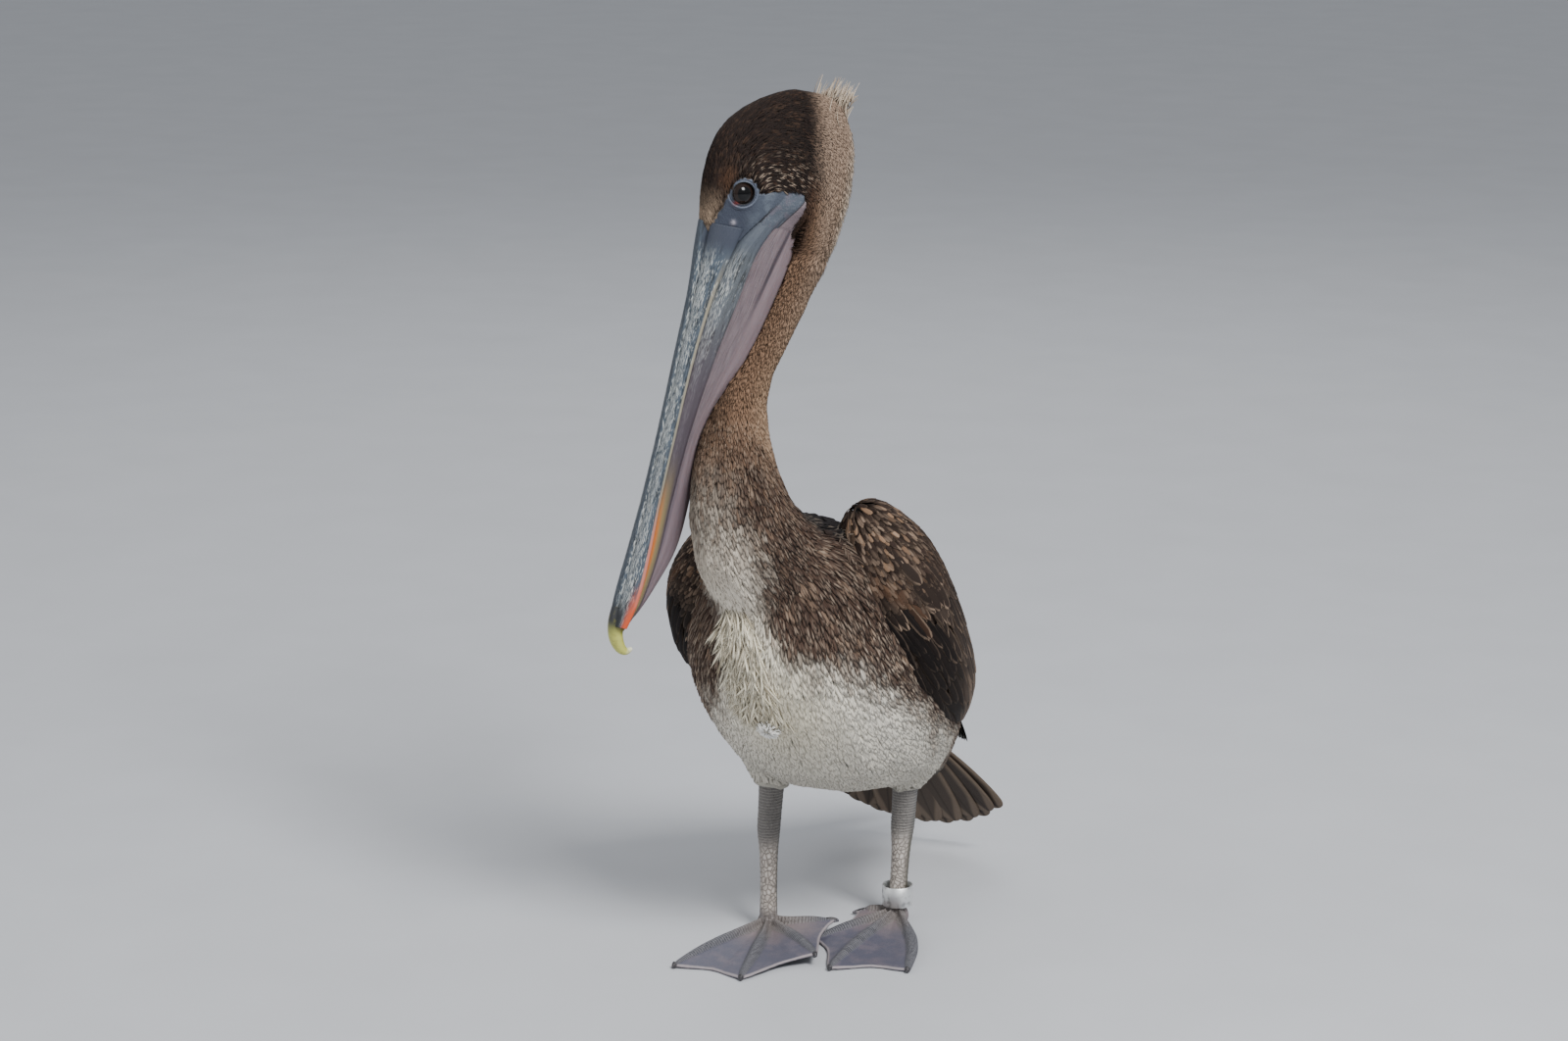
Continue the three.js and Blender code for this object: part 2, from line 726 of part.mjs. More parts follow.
// A closed sheet over spokes that fan out: a grid of top points, one of bottom points and a rim.
function fanSolid(spokes, rows) {
  const points = [];
  for (const face of ["top", "bottom"]) {
    for (let j = 0; j <= rows; j++) {
      for (const spoke of spokes) {
        const spot = spoke(THREE.MathUtils.lerp(FOOT_START, 1, j / rows));
        points.push(spot.place.clone().setZ(spot[face]));
      }
    }
  }
  const across = spokes.length;
  const layer = across * (rows + 1);
  const index = [];
  for (let j = 0; j < rows; j++) {
    for (let k = 0; k < across - 1; k++) {
      const a = j * across + k;
      index.push(a, a + 1, a + across, a + 1, a + across + 1, a + across);
      index.push(layer + a, layer + a + across, layer + a + 1);
      index.push(layer + a + 1, layer + a + across, layer + a + across + 1);
    }
  }
  const upTo = (count, placeOf) => Array.from({ length: count }, (unused, k) => placeOf(k));
  const rim = [
    ...upTo(across - 1, (k) => k),
    ...upTo(rows, (j) => j * across + across - 1),
    ...upTo(across - 1, (k) => rows * across + across - 1 - k),
    ...upTo(rows, (j) => (rows - j) * across),
  ];
  rim.forEach((a, k) => {
    const b = rim[(k + 1) % rim.length];
    index.push(b, a, layer + a, b, layer + a, layer + b);
  });
  return solidFrom(points, index);
}

function bandSolid() {
  const { bottom, height, inner, wall } = BAND;
  const outline = [
    [inner, 0],
    [inner + wall, 0],
    [inner + wall, height],
    [inner, height],
    [inner, 0],
  ].map(([radius, up]) => new THREE.Vector2(radius, up));
  const ring = new THREE.LatheGeometry(outline, 20);
  ring.rotateX(Math.PI / 2);
  const [x, y] = LEGS.left.ankle;
  const share = bottom / LEGS.left.heel[2];
  ring.translate(x + share * (LEGS.left.heel[0] - x), y, bottom);
  return solidFromGeometry(ring);
}

// ---------------------------------------------------------------- the bird, piece by piece
const pelican = new THREE.Group();

function addPiece(name, solid, colour, roughness, metalness = 0) {
  const { vertProperties, triVerts } = biggest(solid).getMesh();
  const geometry = new THREE.BufferGeometry();
  geometry.setAttribute("position", new THREE.BufferAttribute(Float32Array.from(vertProperties), 3));
  geometry.setIndex(Array.from(triVerts));
  geometry.computeVertexNormals();
  const material = new THREE.MeshStandardMaterial({ color: colour, roughness, metalness });
  const piece = new THREE.Mesh(geometry, material);
  piece.name = name;
  pelican.add(piece);
}

const trunkHole = trunkSolid(CUT);
addPiece("trunk", trunkSolid(), 0xb8a893, 0.9);

const SIDES = [
  ["left", 1],
  ["right", -1],
];
const wingHoles = SIDES.map(([, sign]) => wingSolid(sign, CUT));
const primariesHoles = SIDES.map(([, sign]) => primariesSolid(sign, CUT));
const wingCut = bodyPoint(0, WING_SPLIT_Q, 0);
const behindWingCut = beyond(wingCut.clone().addScaledVector(TAILWARD, CUT), TAILWARD);
for (const [side, sign] of SIDES) {
  const wing = without(wingSolid(sign), [trunkHole, beyond(wingCut, TAILWARD)]);
  addPiece(`wing_${side}`, wing, 0x5d4c3c, 0.85);
  const primaries = without(joined([primariesSolid(sign), wingSolid(sign)]), [trunkHole]);
  addPiece(`primaries_${side}`, primaries.intersect(behindWingCut), 0x2c2622, 0.8);
}
addPiece("tail", without(tailSolid(), [trunkHole, ...wingHoles, ...primariesHoles]), 0x3a332d, 0.8);

const upperHole = billUpperSolid(CUT);
const lowerHole = billLowerSolid(CUT);
const pouchHole = pouchSolid(CUT);
const nailHole = nailSolid(CUT);
const jawHoles = [upperHole, lowerHole, pouchHole];
const neck = without(neckSolid(), [trunkHole, ...wingHoles]);
const headAndNeck = joined([headSolid(), neck]);
const upperNeck = without(neck, [lowerHole, pouchHole]).intersect(above(NECK_SPLIT_Z + CUT));
const nape = headPoint(0, HEAD[0][0], 0);
const napeCut = nape.clone().addScaledVector(BILL_WAY, -CUT);
const lowerNeck = without(neck, [lowerHole, pouchHole]).intersect(below(NECK_SPLIT_Z));
addPiece("neck_lower", lowerNeck, 0x8c7155, 0.9);
addPiece("neck_upper", upperNeck.intersect(beyond(nape, BILL_WAY)), 0x8c7155, 0.9);

const eyeHoles = SIDES.map(([, sign]) => eyeSolid(sign, CUT));
const head = headAndNeck.intersect(beyond(napeCut, BILL_WAY.clone().negate()));
addPiece("head", without(head, [...jawHoles, ...eyeHoles]), 0x4e3d2f, 0.85);
addPiece("crest", without(crestSolid(), [headSolid(CUT), neckSolid(CUT)]), 0xb59c78, 0.9);
addPiece("bill_upper", without(billUpperSolid(), [nailHole]), 0x6f7c86, 0.45);
addPiece("bill_nail", nailSolid(), 0xa9a45e, 0.4);
addPiece("bill_lower", without(billLowerSolid(), [upperHole, nailHole]), 0x7a6d6c, 0.5);
addPiece("pouch", without(pouchSolid(), [upperHole, lowerHole, nailHole]), 0x9a7b78, 0.6);
for (const [side, sign] of SIDES) {
  addPiece(`eye_${side}`, eyeSolid(sign), 0x120d0a, 0.1);
}

for (const [side] of SIDES) {
  const legHole = legSolid(side, CUT);
  const leg = without(legSolid(side), [trunkHole]);
  addPiece(`thigh_${side}`, without(thighSolid(side), [trunkHole, legHole]), 0xcabfae, 0.9);
  addPiece(`leg_${side}`, leg.intersect(above(BALL_HEIGHT)), 0x6c655f, 0.7);
  addPiece(`foot_${side}`, without(footSolid(side), [legHole]), 0x5d5a60, 0.65);
}
addPiece("leg_band", bandSolid(), 0xb9bcbe, 0.35, 1);

// The origin is under the middle of the whole bird, at the level of its soles.
const box = new THREE.Box3().setFromObject(pelican);
const centre = box.getCenter(new THREE.Vector3());
pelican.position.set(-centre.x, -centre.y, 0);
pelican.updateMatrixWorld(true);

export default pelican;
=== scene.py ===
"""A young brown pelican standing on both feet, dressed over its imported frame.

Lengths in the tables are millimetres in the bird's own frames; the pieces are made in metres.
"""
import json
import math

import bmesh
import bpy
import numpy as np
from bpy.props import FloatProperty, FloatVectorProperty, IntProperty, PointerProperty
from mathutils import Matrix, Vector, noise
from mathutils.bvhtree import BVHTree
from mathutils.kdtree import KDTree

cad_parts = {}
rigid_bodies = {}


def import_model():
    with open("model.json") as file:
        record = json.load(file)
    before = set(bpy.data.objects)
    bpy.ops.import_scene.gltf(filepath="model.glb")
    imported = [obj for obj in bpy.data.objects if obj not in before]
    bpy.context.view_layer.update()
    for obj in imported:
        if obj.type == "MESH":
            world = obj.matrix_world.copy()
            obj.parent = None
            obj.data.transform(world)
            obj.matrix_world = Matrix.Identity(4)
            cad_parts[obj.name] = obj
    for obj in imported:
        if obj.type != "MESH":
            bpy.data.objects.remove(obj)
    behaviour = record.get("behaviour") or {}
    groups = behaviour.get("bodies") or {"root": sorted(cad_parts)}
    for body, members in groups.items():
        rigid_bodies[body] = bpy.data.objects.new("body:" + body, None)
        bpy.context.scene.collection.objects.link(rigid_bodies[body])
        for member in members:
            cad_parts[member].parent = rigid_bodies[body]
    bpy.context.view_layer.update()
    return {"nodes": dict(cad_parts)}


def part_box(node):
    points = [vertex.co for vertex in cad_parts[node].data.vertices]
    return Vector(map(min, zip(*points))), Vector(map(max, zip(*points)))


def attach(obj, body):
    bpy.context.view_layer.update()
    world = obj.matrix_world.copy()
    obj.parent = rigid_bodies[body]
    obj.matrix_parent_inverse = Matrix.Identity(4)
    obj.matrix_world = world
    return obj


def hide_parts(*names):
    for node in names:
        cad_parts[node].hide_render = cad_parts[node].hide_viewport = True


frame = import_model()

bl_info = {
    "name": "Brown pelican",
    "version": (1, 0, 0),
    "blender": (4, 5, 0),
    "location": "View3D > Sidebar > Pelican",
    "description": "Plumage, bill, feet and leg ring of a standing young pelican",
    "category": "Object",
}

MM = 0.001
BODY = "root"
SEEDS = {"wings": 20, "crest": 60, "tuft": 80}  # added to the seed in the panel

# ---------------------------------------------------------------- frames of the bird
HEAD_TURN = 46  # degrees to the bird's right
BILL_PITCH = 78  # degrees below the horizontal
TRUNK_PITCH = 42
BILL_ROOT = (-67.4, -108.1, 591)  # where the ridge of the bill meets the forehead
TRUNK_START = (0, -55, 300)
EYE = (17.6, -32.3, -20.4)  # side, along the bill, towards the ridge
EYE_RADIUS = 9.5
OPENING = 7.7  # radius of the part of the eyeball that shows


def cosine(degrees):
    return math.cos(math.radians(degrees))


def sine(degrees):
    return math.sin(math.radians(degrees))


HEADING = np.array([-sine(HEAD_TURN), -cosine(HEAD_TURN), 0])
HEAD_SIDE = np.array([cosine(HEAD_TURN), -sine(HEAD_TURN), 0])
UP = np.array([0.0, 0, 1])
LEFT = np.array([1.0, 0, 0])
BILL_WAY = HEADING * cosine(BILL_PITCH) - UP * sine(BILL_PITCH)
RIDGE_WAY = HEADING * sine(BILL_PITCH) + UP * cosine(BILL_PITCH)
TAILWARD = np.array([0, cosine(TRUNK_PITCH), -sine(TRUNK_PITCH)])
BACKWARD = np.array([0, sine(TRUNK_PITCH), cosine(TRUNK_PITCH)])


def middle_of(node):
    return np.mean([list(corner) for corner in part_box(node)], axis=0)


EYES_MIDDLE = (middle_of("eye_left") + middle_of("eye_right")) / 2
HEAD_ROOT = EYES_MIDDLE - MM * (EYE[1] * BILL_WAY + EYE[2] * RIDGE_WAY)
ORIGIN = HEAD_ROOT - MM * np.array(BILL_ROOT)


def place(points):
    """Points in the bird's millimetres, in metres where the frame stands."""
    return ORIGIN + MM * np.asarray(points, float)


HEAD_FRAME = (HEAD_ROOT, (HEAD_SIDE, BILL_WAY, RIDGE_WAY))
TRUNK_FRAME = (place(TRUNK_START), (LEFT, TAILWARD, BACKWARD))


def point_in(frame_of, parts):
    origin, ways = frame_of
    return origin + MM * sum(np.multiply.outer(np.asarray(c, float), way) for c, way in zip(parts, ways))


def coordinates(frame_of, points):
    origin, ways = frame_of
    return ((points - origin) / MM @ np.array(ways).T).T


def head_point(side, s, n):
    """A place from its side, its way along the bill (s) and its height over the ridge (n)."""
    return point_in(HEAD_FRAME, (side, s, n))


def body_point(x, q, p):
    """A place from its side, its way towards the tail (q) and towards the back (p)."""
    return point_in(TRUNK_FRAME, (x, q, p))


def head_coordinates(points):
    return coordinates(HEAD_FRAME, points)


def body_coordinates(points):
    return coordinates(TRUNK_FRAME, points)


# ---------------------------------------------------------------- stations, in millimetres
# Folded wing: q, p, x of the middle, half height, half thickness, lean; then on to the tip.
WING = [
    (-66, 42, 54, 11, 9, 34), (-55, 34, 58, 29, 24, 34), (-22, 20, 67, 47, 39, 36),
    (28, 14, 67, 61, 43, 37), (80, 14, 63, 63, 42, 38), (130, 16, 56, 58, 40, 38),
    (180, 21, 46, 48, 33, 38), (225, 30, 35, 37, 24, 38), (262, 40, 27, 26, 15, 38),
    (300, 52, 22, 17, 8, 38), (345, 62, 18, 10, 4, 38), (380, 69, 15, 4, 2, 38),
]
WING_SOLID_ROWS = 9
WING_STEPS = 60
WING_ROUNDNESS = 2.2
WING_SAG = {1: 0, -1: 20}
SIDES = {1: "left", -1: "right"}
# Neck line: x, y, z, radius.
NECK = [
    (-4, -58, 314, 42), (-17, -94, 332, 52), (-29, -115, 370, 43), (-42, -102, 420, 30.5),
    (-46, -79, 468, 22.5), (-29, -59, 516, 21), (-10, -46, 565, 22), (-2, -43, 606, 24),
]
# Upper bill: s, ridge n, edge n, half width.
BILL_UPPER = [
    (-6, 1, -29, 20), (14, 0.5, -23.5, 20), (50, -1.3, -16, 17), (100, -0.3, -11.3, 14.5),
    (155, 0.9, -9, 13.5), (205, 3, -6.8, 14.2), (250, 6.6, -5.8, 16.2), (284, 10, -3.8, 16.6),
    (308, 10.6, 0, 12.5),
]
# Across one half of it: share of the half width, share of the height.
BILL_SECTION = [
    (0, 1), (0.2, 0.95), (0.32, 0.74), (0.5, 0.8), (0.82, 0.62), (1, 0.26), (0.94, 0.02),
    (0.5, 0.1), (0, 0.14),
]
NAIL = [
    (294, 5, 5.2, 8), (306, 5.4, 5.6, 8.4), (317, 3.4, 5.4, 7), (325, -1.6, 4.4, 5),
    (327.6, -7, 3, 3.4), (325, -11.5, 1.2, 1.4),
]
# Lower bill: s, top n, bottom n, half width.
BILL_LOWER = [
    (-30, -44, -68, 15), (-14, -36, -58, 20), (12, -23, -46, 20), (50, -14, -39, 17.5),
    (100, -9, -29.5, 15), (155, -6, -22, 13.5), (205, -4, -18, 13.5), (250, -3, -15.2, 14.5),
    (284, -1, -10.5, 12), (298, 0.6, -6.5, 9), (309, 1.6, -2.4, 5), (315, 2, 0, 1.5),
]
# Pouch: s, top n, bottom n, half width at the top and at the bottom.
POUCH = [
    (-34, -66, -79, 13, 10), (-12, -50, -79, 18, 14), (12, -38, -78, 18, 13),
    (50, -32, -70, 16, 10), (95, -23, -58, 14, 7), (130, -19, -43, 12.5, 5),
    (165, -15, -34.5, 11.5, 4.5), (210, -12, -34.5, 11.5, 5), (245, -11, -31, 12, 5),
    (276, -7, -20, 9, 4), (296, -3, -11, 5, 2), (305, -1, -4.5, 1.5, 1),
]
POUCH_EXTRA = 0.6  # the pouch is this much wider than its solid, on each side
POUCH_ROUNDNESS = 2.2
LOWER_ROUNDNESS = 3
# The bare skin of the face, as s and n, from the ridge round the eye to the back of the pouch.
FACE_EDGE = [
    (8, -6.5), (-6, -6.5), (-19, -9), (-30, -11), (-38, -12.5), (-43, -17), (-43.5, -24),
    (-40, -29.5), (-35, -33), (-34, -37), (-39, -46), (-41, -57), (-41, -65), (-37, -70),
    (-28, -72), (-12, -71), (2, -70), (20, -74), (20, -20),
]
WART = (-9, -19)
EYE_CORNER = (-24.4, -16.8)

LEGS = {
    "right": {"ankle": (-60, 10), "heel": (-60, 11, 85), "top": (-58, 12, 122)},
    "left": {"ankle": (28, 71), "heel": (32, 73, 80), "top": (36, 68, 116)},
}
BALL_HEIGHT = 7
# Toe tips: x, y, height and bow to the left.
TOES = {
    "right": [(-94.4, -105.7, 3.2, -3), (-34.2, -111.9, 3.2, 2), (9.3, -60, 11, 3),
              (-3.7, 22.5, 12.4, -4)],
    "left": [(80.3, -46.6, 3.2, 8), (21.5, -64.9, 3.2, -2), (-15, -8, 2.9, -2),
             (-9.2, 67, 4, -3)],
}
TOE_RADII = [(5.8,), (5.4,), (4.8,), (3,), (1.2,)]
CLAW_LENGTH = 12
WEB_DEPTH = 1.1  # from the middle of the web to its top and to its underside
BAND = {"bottom": 13.5, "height": 17, "inner": 11.4, "wall": 1.2, "rounding": 0.4}

PRIMARIES = 7
TAIL_FEATHERS = 9
TAIL_ROOT = (-19, 168, 136)
TAIL_LENGTH = 154
TAIL_DROP = 50
TAIL_SPREAD = 52
TAIL_TAPER = 0.12
TAIL_DISH = 2
TAIL_BLADE = 15.5

# Height of the lower edge of the brown above the floor, against the way along the trunk.
BELLY_EDGE = [(-70, 266), (-35, 267), (-16, 258), (17, 240), (54, 221), (74, 211), (116, 191),
              (176, 163), (240, 125), (300, 95)]
# The pale stripe of the breast and neck: height above the floor, its two edges, its strength.
STRIPE = [(250, -60, 60, 1), (264, -38, 12, 1), (281, -33, 4, 1), (300, -40, -12, 1),
          (320, -66, -9, 1), (343, -80, -6, 0.95), (360, -80, -8, 0.75), (380, -80, -22, 0.45),
          (400, -80, -32, 0.22), (430, -80, -40, 0)]
TUFT = [(-28, -52, -56), (-24, -40, -72), (-22, -25, -84), (-19, 1, -96), (-12, 18, -101)]
TUFT_REACH = 15
TUFT_LENGTHS = (16, 32)
BALL = (-13, 27, -102)
BALL_REACH = 7
BALL_GAP = 9  # the strands keep this far from the ball's middle
BALL_DOME = 6.5
CREST_FEATHERS = 520
CREST_LIMITS = (-129, -108)  # no crest feather ends beyond this s or this n
# The front edge of the pale nape, as s and how far below the crown it runs there.
NAPE_EDGE = [(-125, 69), (-100, 71), (-70, 75), (-40, 83), (0, 90)]
# Line of the painted shade in the crease beside the bill, as places on the trunk's own axes.
CREASE_SHADE = [(-86, -44, -8), (-77, -43, -24), (-59, -46, -43), (-39, -55, -55)]
FLANK_STREAK = [(84, 118, -52), (80, 158, -54), (68, 188, -62)]
# Round tips of the middle wing feathers, as places on the trunk's own axes.
ROUND_TIPS = [(88, -38, -2), (96, -29, -8), (103, -19, -13), (108, -15, -9), (112, -10, -3),
              (114, -2, 5), (112, -14, 14)]

# The camera's place in the bird's millimetres, and the way it looks.
CAMERA_PLACE = (1051.8, -2708.2, 1040)
CAMERA_YAW = 22
CAMERA_PITCH = 13.4
CAMERA_LENS = 87.75
FLOOR_HALF = 60  # metres
SKY = (0.92, 0.95, 1, 1)
SKY_STRENGTH = 0.5
LIGHTS_AIM = (0, 0, 0.35)
# Place in metres, size, and which of the panel's powers it has.
LIGHTS = {"key": ((1.9, -1.6, 2.6), 1.1, "key"), "fill": ((-2.4, -1.6, 1.4), 2.2, "fill"),
          "rim": ((-0.8, 2.3, 2.4), 1.6, "fill")}


# ---------------------------------------------------------------- shapes
def curve(a, b, c, d, share):
    """The place at each share of the way from b to c, on a smooth curve through all four."""
    bend = 2 * a - 5 * b + 4 * c - d
    twist = 3 * b - 3 * c + d - a
    return b + 0.5 * share * (c - a + share * (bend + share * twist))


def rows_at(rows, t):
    """The rows of numbers at each t, from 0 to 1, on a smooth curve through the rows."""
    rows = np.asarray(rows, float)
    last = len(rows) - 1
    spot = np.clip(np.atleast_1d(t), 0, 1) * last
    start = np.minimum(spot.astype(int), last - 1)
    share = (spot - start)[:, None]
    return curve(*(rows[np.clip(start + k, 0, last)] for k in (-1, 0, 1, 2)), share)


def columns_at(rows, at):
    """Each further column of the rows, at places between the numbers in their first column."""
    first, *others = zip(*rows)
    return [np.interp(at, first, other) for other in others]


def smooth(value, low, high):
    share = np.clip((np.asarray(value, float) - low) / (high - low), 0, 1)
    return share * share * (3 - 2 * share)


def hump(value, middle, width):
    return np.exp(-(((np.asarray(value, float) - middle) / width) ** 2))


def mixed(first, second, share):
    share = np.asarray(share)[..., None]
    return np.asarray(first) * (1 - share) + np.asarray(second) * share


def layered(colour, *coats):
    """The colour with other colours laid over it in turn, each by its own share."""
    for over, share in coats:
        colour = mixed(colour, over, share)
    return colour


def unit(vectors):
    lengths = np.linalg.norm(vectors, axis=-1, keepdims=True)
    return vectors / np.maximum(lengths, 1e-9)


def oval(count, roundness=2):
    """The turns round an oval, and the shares of its half width and half height at each of them.

    A roundness over 2 makes it boxier than an ellipse.
    """
    turn = np.arange(count) * 2 * math.pi / count
    shares = [np.sign(part) * np.abs(part) ** (2 / roundness) for part in (np.cos(turn), np.sin(turn))]
    return turn, *shares


def oval_ring(middle, side, up, half, depth, count, roundness=2):
    across, rise = oval(count, roundness)[1:]
    return middle + MM * (np.outer(across * half, side) + np.outer(rise * depth, up))


def ribbon_ends(faces, rows, count):
    """Closes both ends of a flat sheet whose rings run along its top and back along its underside."""
    strip = np.arange(count - 1)
    last = (rows - 1) * 2 * count
    under = 2 * count - 1 - strip
    faces += np.stack([strip, under, under - 1, strip + 1], 1).tolist()
    faces += np.stack([last + strip, last + strip + 1, last + under - 1, last + under], 1).tolist()
    return faces


def tube_faces(rows, around):
    """The faces between rings of points that follow one another."""
    here = np.arange((rows - 1) * around)
    beside = here - here % around + (here + 1) % around
    return np.stack([here, beside, beside + around, here + around], 1).tolist()


def loft(rings):
    """Points and faces of a closed skin through rings, its ends filled by fans."""
    rings = np.asarray(rings)
    rows, around = rings.shape[:2]
    points = np.vstack([rings.reshape(-1, 3), rings[0].mean(0), rings[-1].mean(0)])
    first, base = rows * around, (rows - 1) * around
    pairs = [(k, (k + 1) % around) for k in range(around)]
    faces = tube_faces(rows, around) + [[first, b, a] for a, b in pairs]
    return points, faces + [[first + 1, base + a, base + b] for a, b in pairs]


def opened(*meshes):
    """A working copy of the meshes that bmesh can change; closed() puts it away."""
    work = bmesh.new()
    for mesh in meshes:
        work.from_mesh(mesh)
    return work


def closed(work, mesh):
    work.to_mesh(mesh)
    work.free()
    return mesh


def mesh_of(name, points, faces):
    mesh = bpy.data.meshes.new(name)
    mesh.from_pydata(np.asarray(points).tolist(), [], faces)
    work = opened(mesh)
    bmesh.ops.recalc_face_normals(work, faces=work.faces)
    closed(work, mesh).shade_smooth()
    return mesh


def joined(blocks):
    """Points and faces of several blocks as one."""
    points, faces = [], []
    for spots, shapes in blocks:
        start = sum(len(block) for block in points)
        points.append(spots)
        faces += [[start + k for k in face] for face in shapes]
    return np.vstack(points), faces


def vectors_of(items, field):
    flat = np.empty(len(items) * 3, np.float32)
    items.foreach_get(field, flat)
    return flat.reshape(-1, 3).astype(float)


def points_of(mesh):
    return vectors_of(mesh.vertices, "co")


def normals_of(mesh):
    return vectors_of(mesh.vertex_normals, "vector")


def reach_from(centre, s, n):
    return np.hypot(s - centre[0], n - centre[1])


def move_points(mesh, points):
    mesh.vertices.foreach_set("co", np.asarray(points, np.float32).ravel())
    mesh.update()


def store(mesh, **measures):
    """Keeps one number or one vector for each of the mesh's points, under each name."""
    for name, values in measures.items():
        values = np.asarray(values, np.float32)
        kind, field = ("FLOAT", "value") if values.ndim == 1 else ("FLOAT_VECTOR", "vector")
        mesh.attributes.new(name, kind, "POINT").data.foreach_set(field, values.ravel())


def tree_of(spots):
    """The spots in a tree that finds the nearest of them."""
    tree = KDTree(len(spots))
    for k, spot in enumerate(spots):
        tree.insert(spot, k)
    tree.balance()
    return tree


def gaps_between(points, spots):
    """The distance from each point to each spot."""
    squares = (points**2).sum(1)[:, None] + (spots**2).sum(1) - 2 * points @ spots.T
    return np.sqrt(np.maximum(squares, 0))


def linked(name, mesh):
    made = bpy.data.objects.new(name, mesh)
    bpy.context.scene.collection.objects.link(made)
    return made


def finished_mesh(source, name):
    """The plain mesh that an object's modifiers give, with the object itself removed."""
    graph = bpy.context.evaluated_depsgraph_get()
    mesh = bpy.data.meshes.new_from_object(source.evaluated_get(graph))
    mesh.name = name
    bpy.data.objects.remove(source)
    return mesh


def remeshed(name, mesh, cell, rounds):
    """One closed skin round all that is in the mesh, its steps smoothed away in a few rounds."""
    source = linked(f"{name}_source", mesh)
    cells = source.modifiers.new("Cells", "REMESH")
    cells.mode = "VOXEL"
    cells.voxel_size = cell
    soften = source.modifiers.new("Soften", "SMOOTH")
    soften.iterations = rounds
    return finished_mesh(source, name)


def piece(name, mesh, nodes, material=None):
    if material:
        mesh.materials.clear()
        mesh.materials.append(material)
    made = linked(name, mesh)
    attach(made, BODY)
    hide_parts(*nodes)
    return made


# ---------------------------------------------------------------- node graphs
class Wire:
    """An output socket. Sums and products of wires add Math nodes to their graph."""

    def __init__(self, graph, socket):
        self.graph = graph
        self.socket = socket

    def math(self, operation, *values):
        inputs = dict(enumerate(values))
        return self.graph.node("ShaderNodeMath", {"operation": operation}, inputs)

    def __add__(self, other):
        return self.math("ADD", self, other)

    def __sub__(self, other):
        return self.math("SUBTRACT", self, other)

    def __rsub__(self, other):
        return self.math("SUBTRACT", other, self)

    def __mul__(self, other):
        return self.math("MULTIPLY", self, other)

    def __pow__(self, other):
        return self.math("POWER", self, other)

    def __abs__(self):
        return self.math("ABSOLUTE", self)

    __radd__ = __add__
    __rmul__ = __mul__

    def wave(self):
        return self.math("SINE", self)

    def between(self, low, high):
        """0 below low, 1 above high, smooth between; low may be the greater."""
        settings = {"interpolation_type": "SMOOTHSTEP"}
        return self.graph.node("ShaderNodeMapRange", settings, {0: self, 1: low, 2: high})


class Graph:
    """A node tree, with one way to add a node."""

    def __init__(self, tree):
        self.tree = tree

    def node(self, kind, settings=None, inputs=None, output=0):
        made = self.tree.nodes.new(kind)
        for name, value in (settings or {}).items():
            setattr(made, name, value)
        for key, value in (inputs or {}).items():
            if isinstance(value, Wire):
                self.tree.links.new(value.socket, made.inputs[key])
            else:
                made.inputs[key].default_value = value
        return Wire(self, made.outputs[output])

    def split(self, vector):
        made = self.node("ShaderNodeSeparateXYZ", inputs={0: vector}).socket.node
        return [Wire(self, socket) for socket in made.outputs]

    def vector(self, *parts):
        return self.node("ShaderNodeCombineXYZ", inputs=dict(enumerate(parts)))


class Paint(Graph):
    """The graph of one material."""

    def __init__(self, name, **fixed):
        self.material = bpy.data.materials.new(name)
        self.material.use_nodes = True
        super().__init__(self.material.node_tree)
        self.shader = self.tree.nodes["Principled BSDF"]
        for socket, value in fixed.items():
            self.shader.inputs[socket.replace("_", " ")].default_value = value

    def coordinates(self):
        return self.node("ShaderNodeTexCoord", output="Object")

    def attribute(self, name, output="Fac"):
        return self.node("ShaderNodeAttribute", {"attribute_name": name}, output=output)

    def attributes(self, *names):
        return [self.attribute(name) for name in names]

    def stretched(self, vector, scale):
        return self.node("ShaderNodeVectorMath", {"operation": "MULTIPLY"}, {0: vector, 1: scale})

    def noise(self, vector, scale, detail=3):
        inputs = {"Vector": vector, "Scale": scale, "Detail": detail}
        return self.node("ShaderNodeTexNoise", inputs=inputs)

    def borders(self, vector, scale):
        """Distance from the borders of small cells."""
        inputs = {"Vector": vector, "Scale": scale}
        return self.node("ShaderNodeTexVoronoi", {"feature": "DISTANCE_TO_EDGE"}, inputs)

    def mix(self, first, second, share, blend="MIX"):
        """Two colours, each a wire or three plain numbers, mixed by a share."""
        settings = {"data_type": "RGBA", "blend_type": blend}
        first, second = (part if isinstance(part, Wire) else (*part, 1) for part in (first, second))
        return self.node("ShaderNodeMix", settings, {0: share, 6: first, 7: second}, 2)

    def layers(self, colour, *coats):
        """The colour with other colours laid over it in turn, each by its own share."""
        for over, share in coats:
            colour = self.mix(colour, over, share)
        return colour

    def bump(self, height, distance, strength):
        inputs = {"Height": height, "Distance": distance, "Strength": strength}
        return self.node("ShaderNodeBump", inputs=inputs)

    def finish(self, colour, roughness=None, normal=None):
        for key, wire in (("Base Color", colour), ("Roughness", roughness), ("Normal", normal)):
            if wire is not None:
                self.tree.links.new(wire.socket, self.shader.inputs[key])
        return self.material


def tone(red, green, blue):
    """A screen colour from 0 to 255 as the linear colour that a shader takes."""
    shares = [channel / 255 for channel in (red, green, blue)]
    return tuple(s / 12.92 if s <= 0.04045 else ((s + 0.055) / 1.055) ** 2.4 for s in shares)


# ---------------------------------------------------------------- settings
def colour_property(name, description, default):
    return FloatVectorProperty(
        name=name, description=description, subtype="COLOR", size=3, min=0, max=1, default=default)


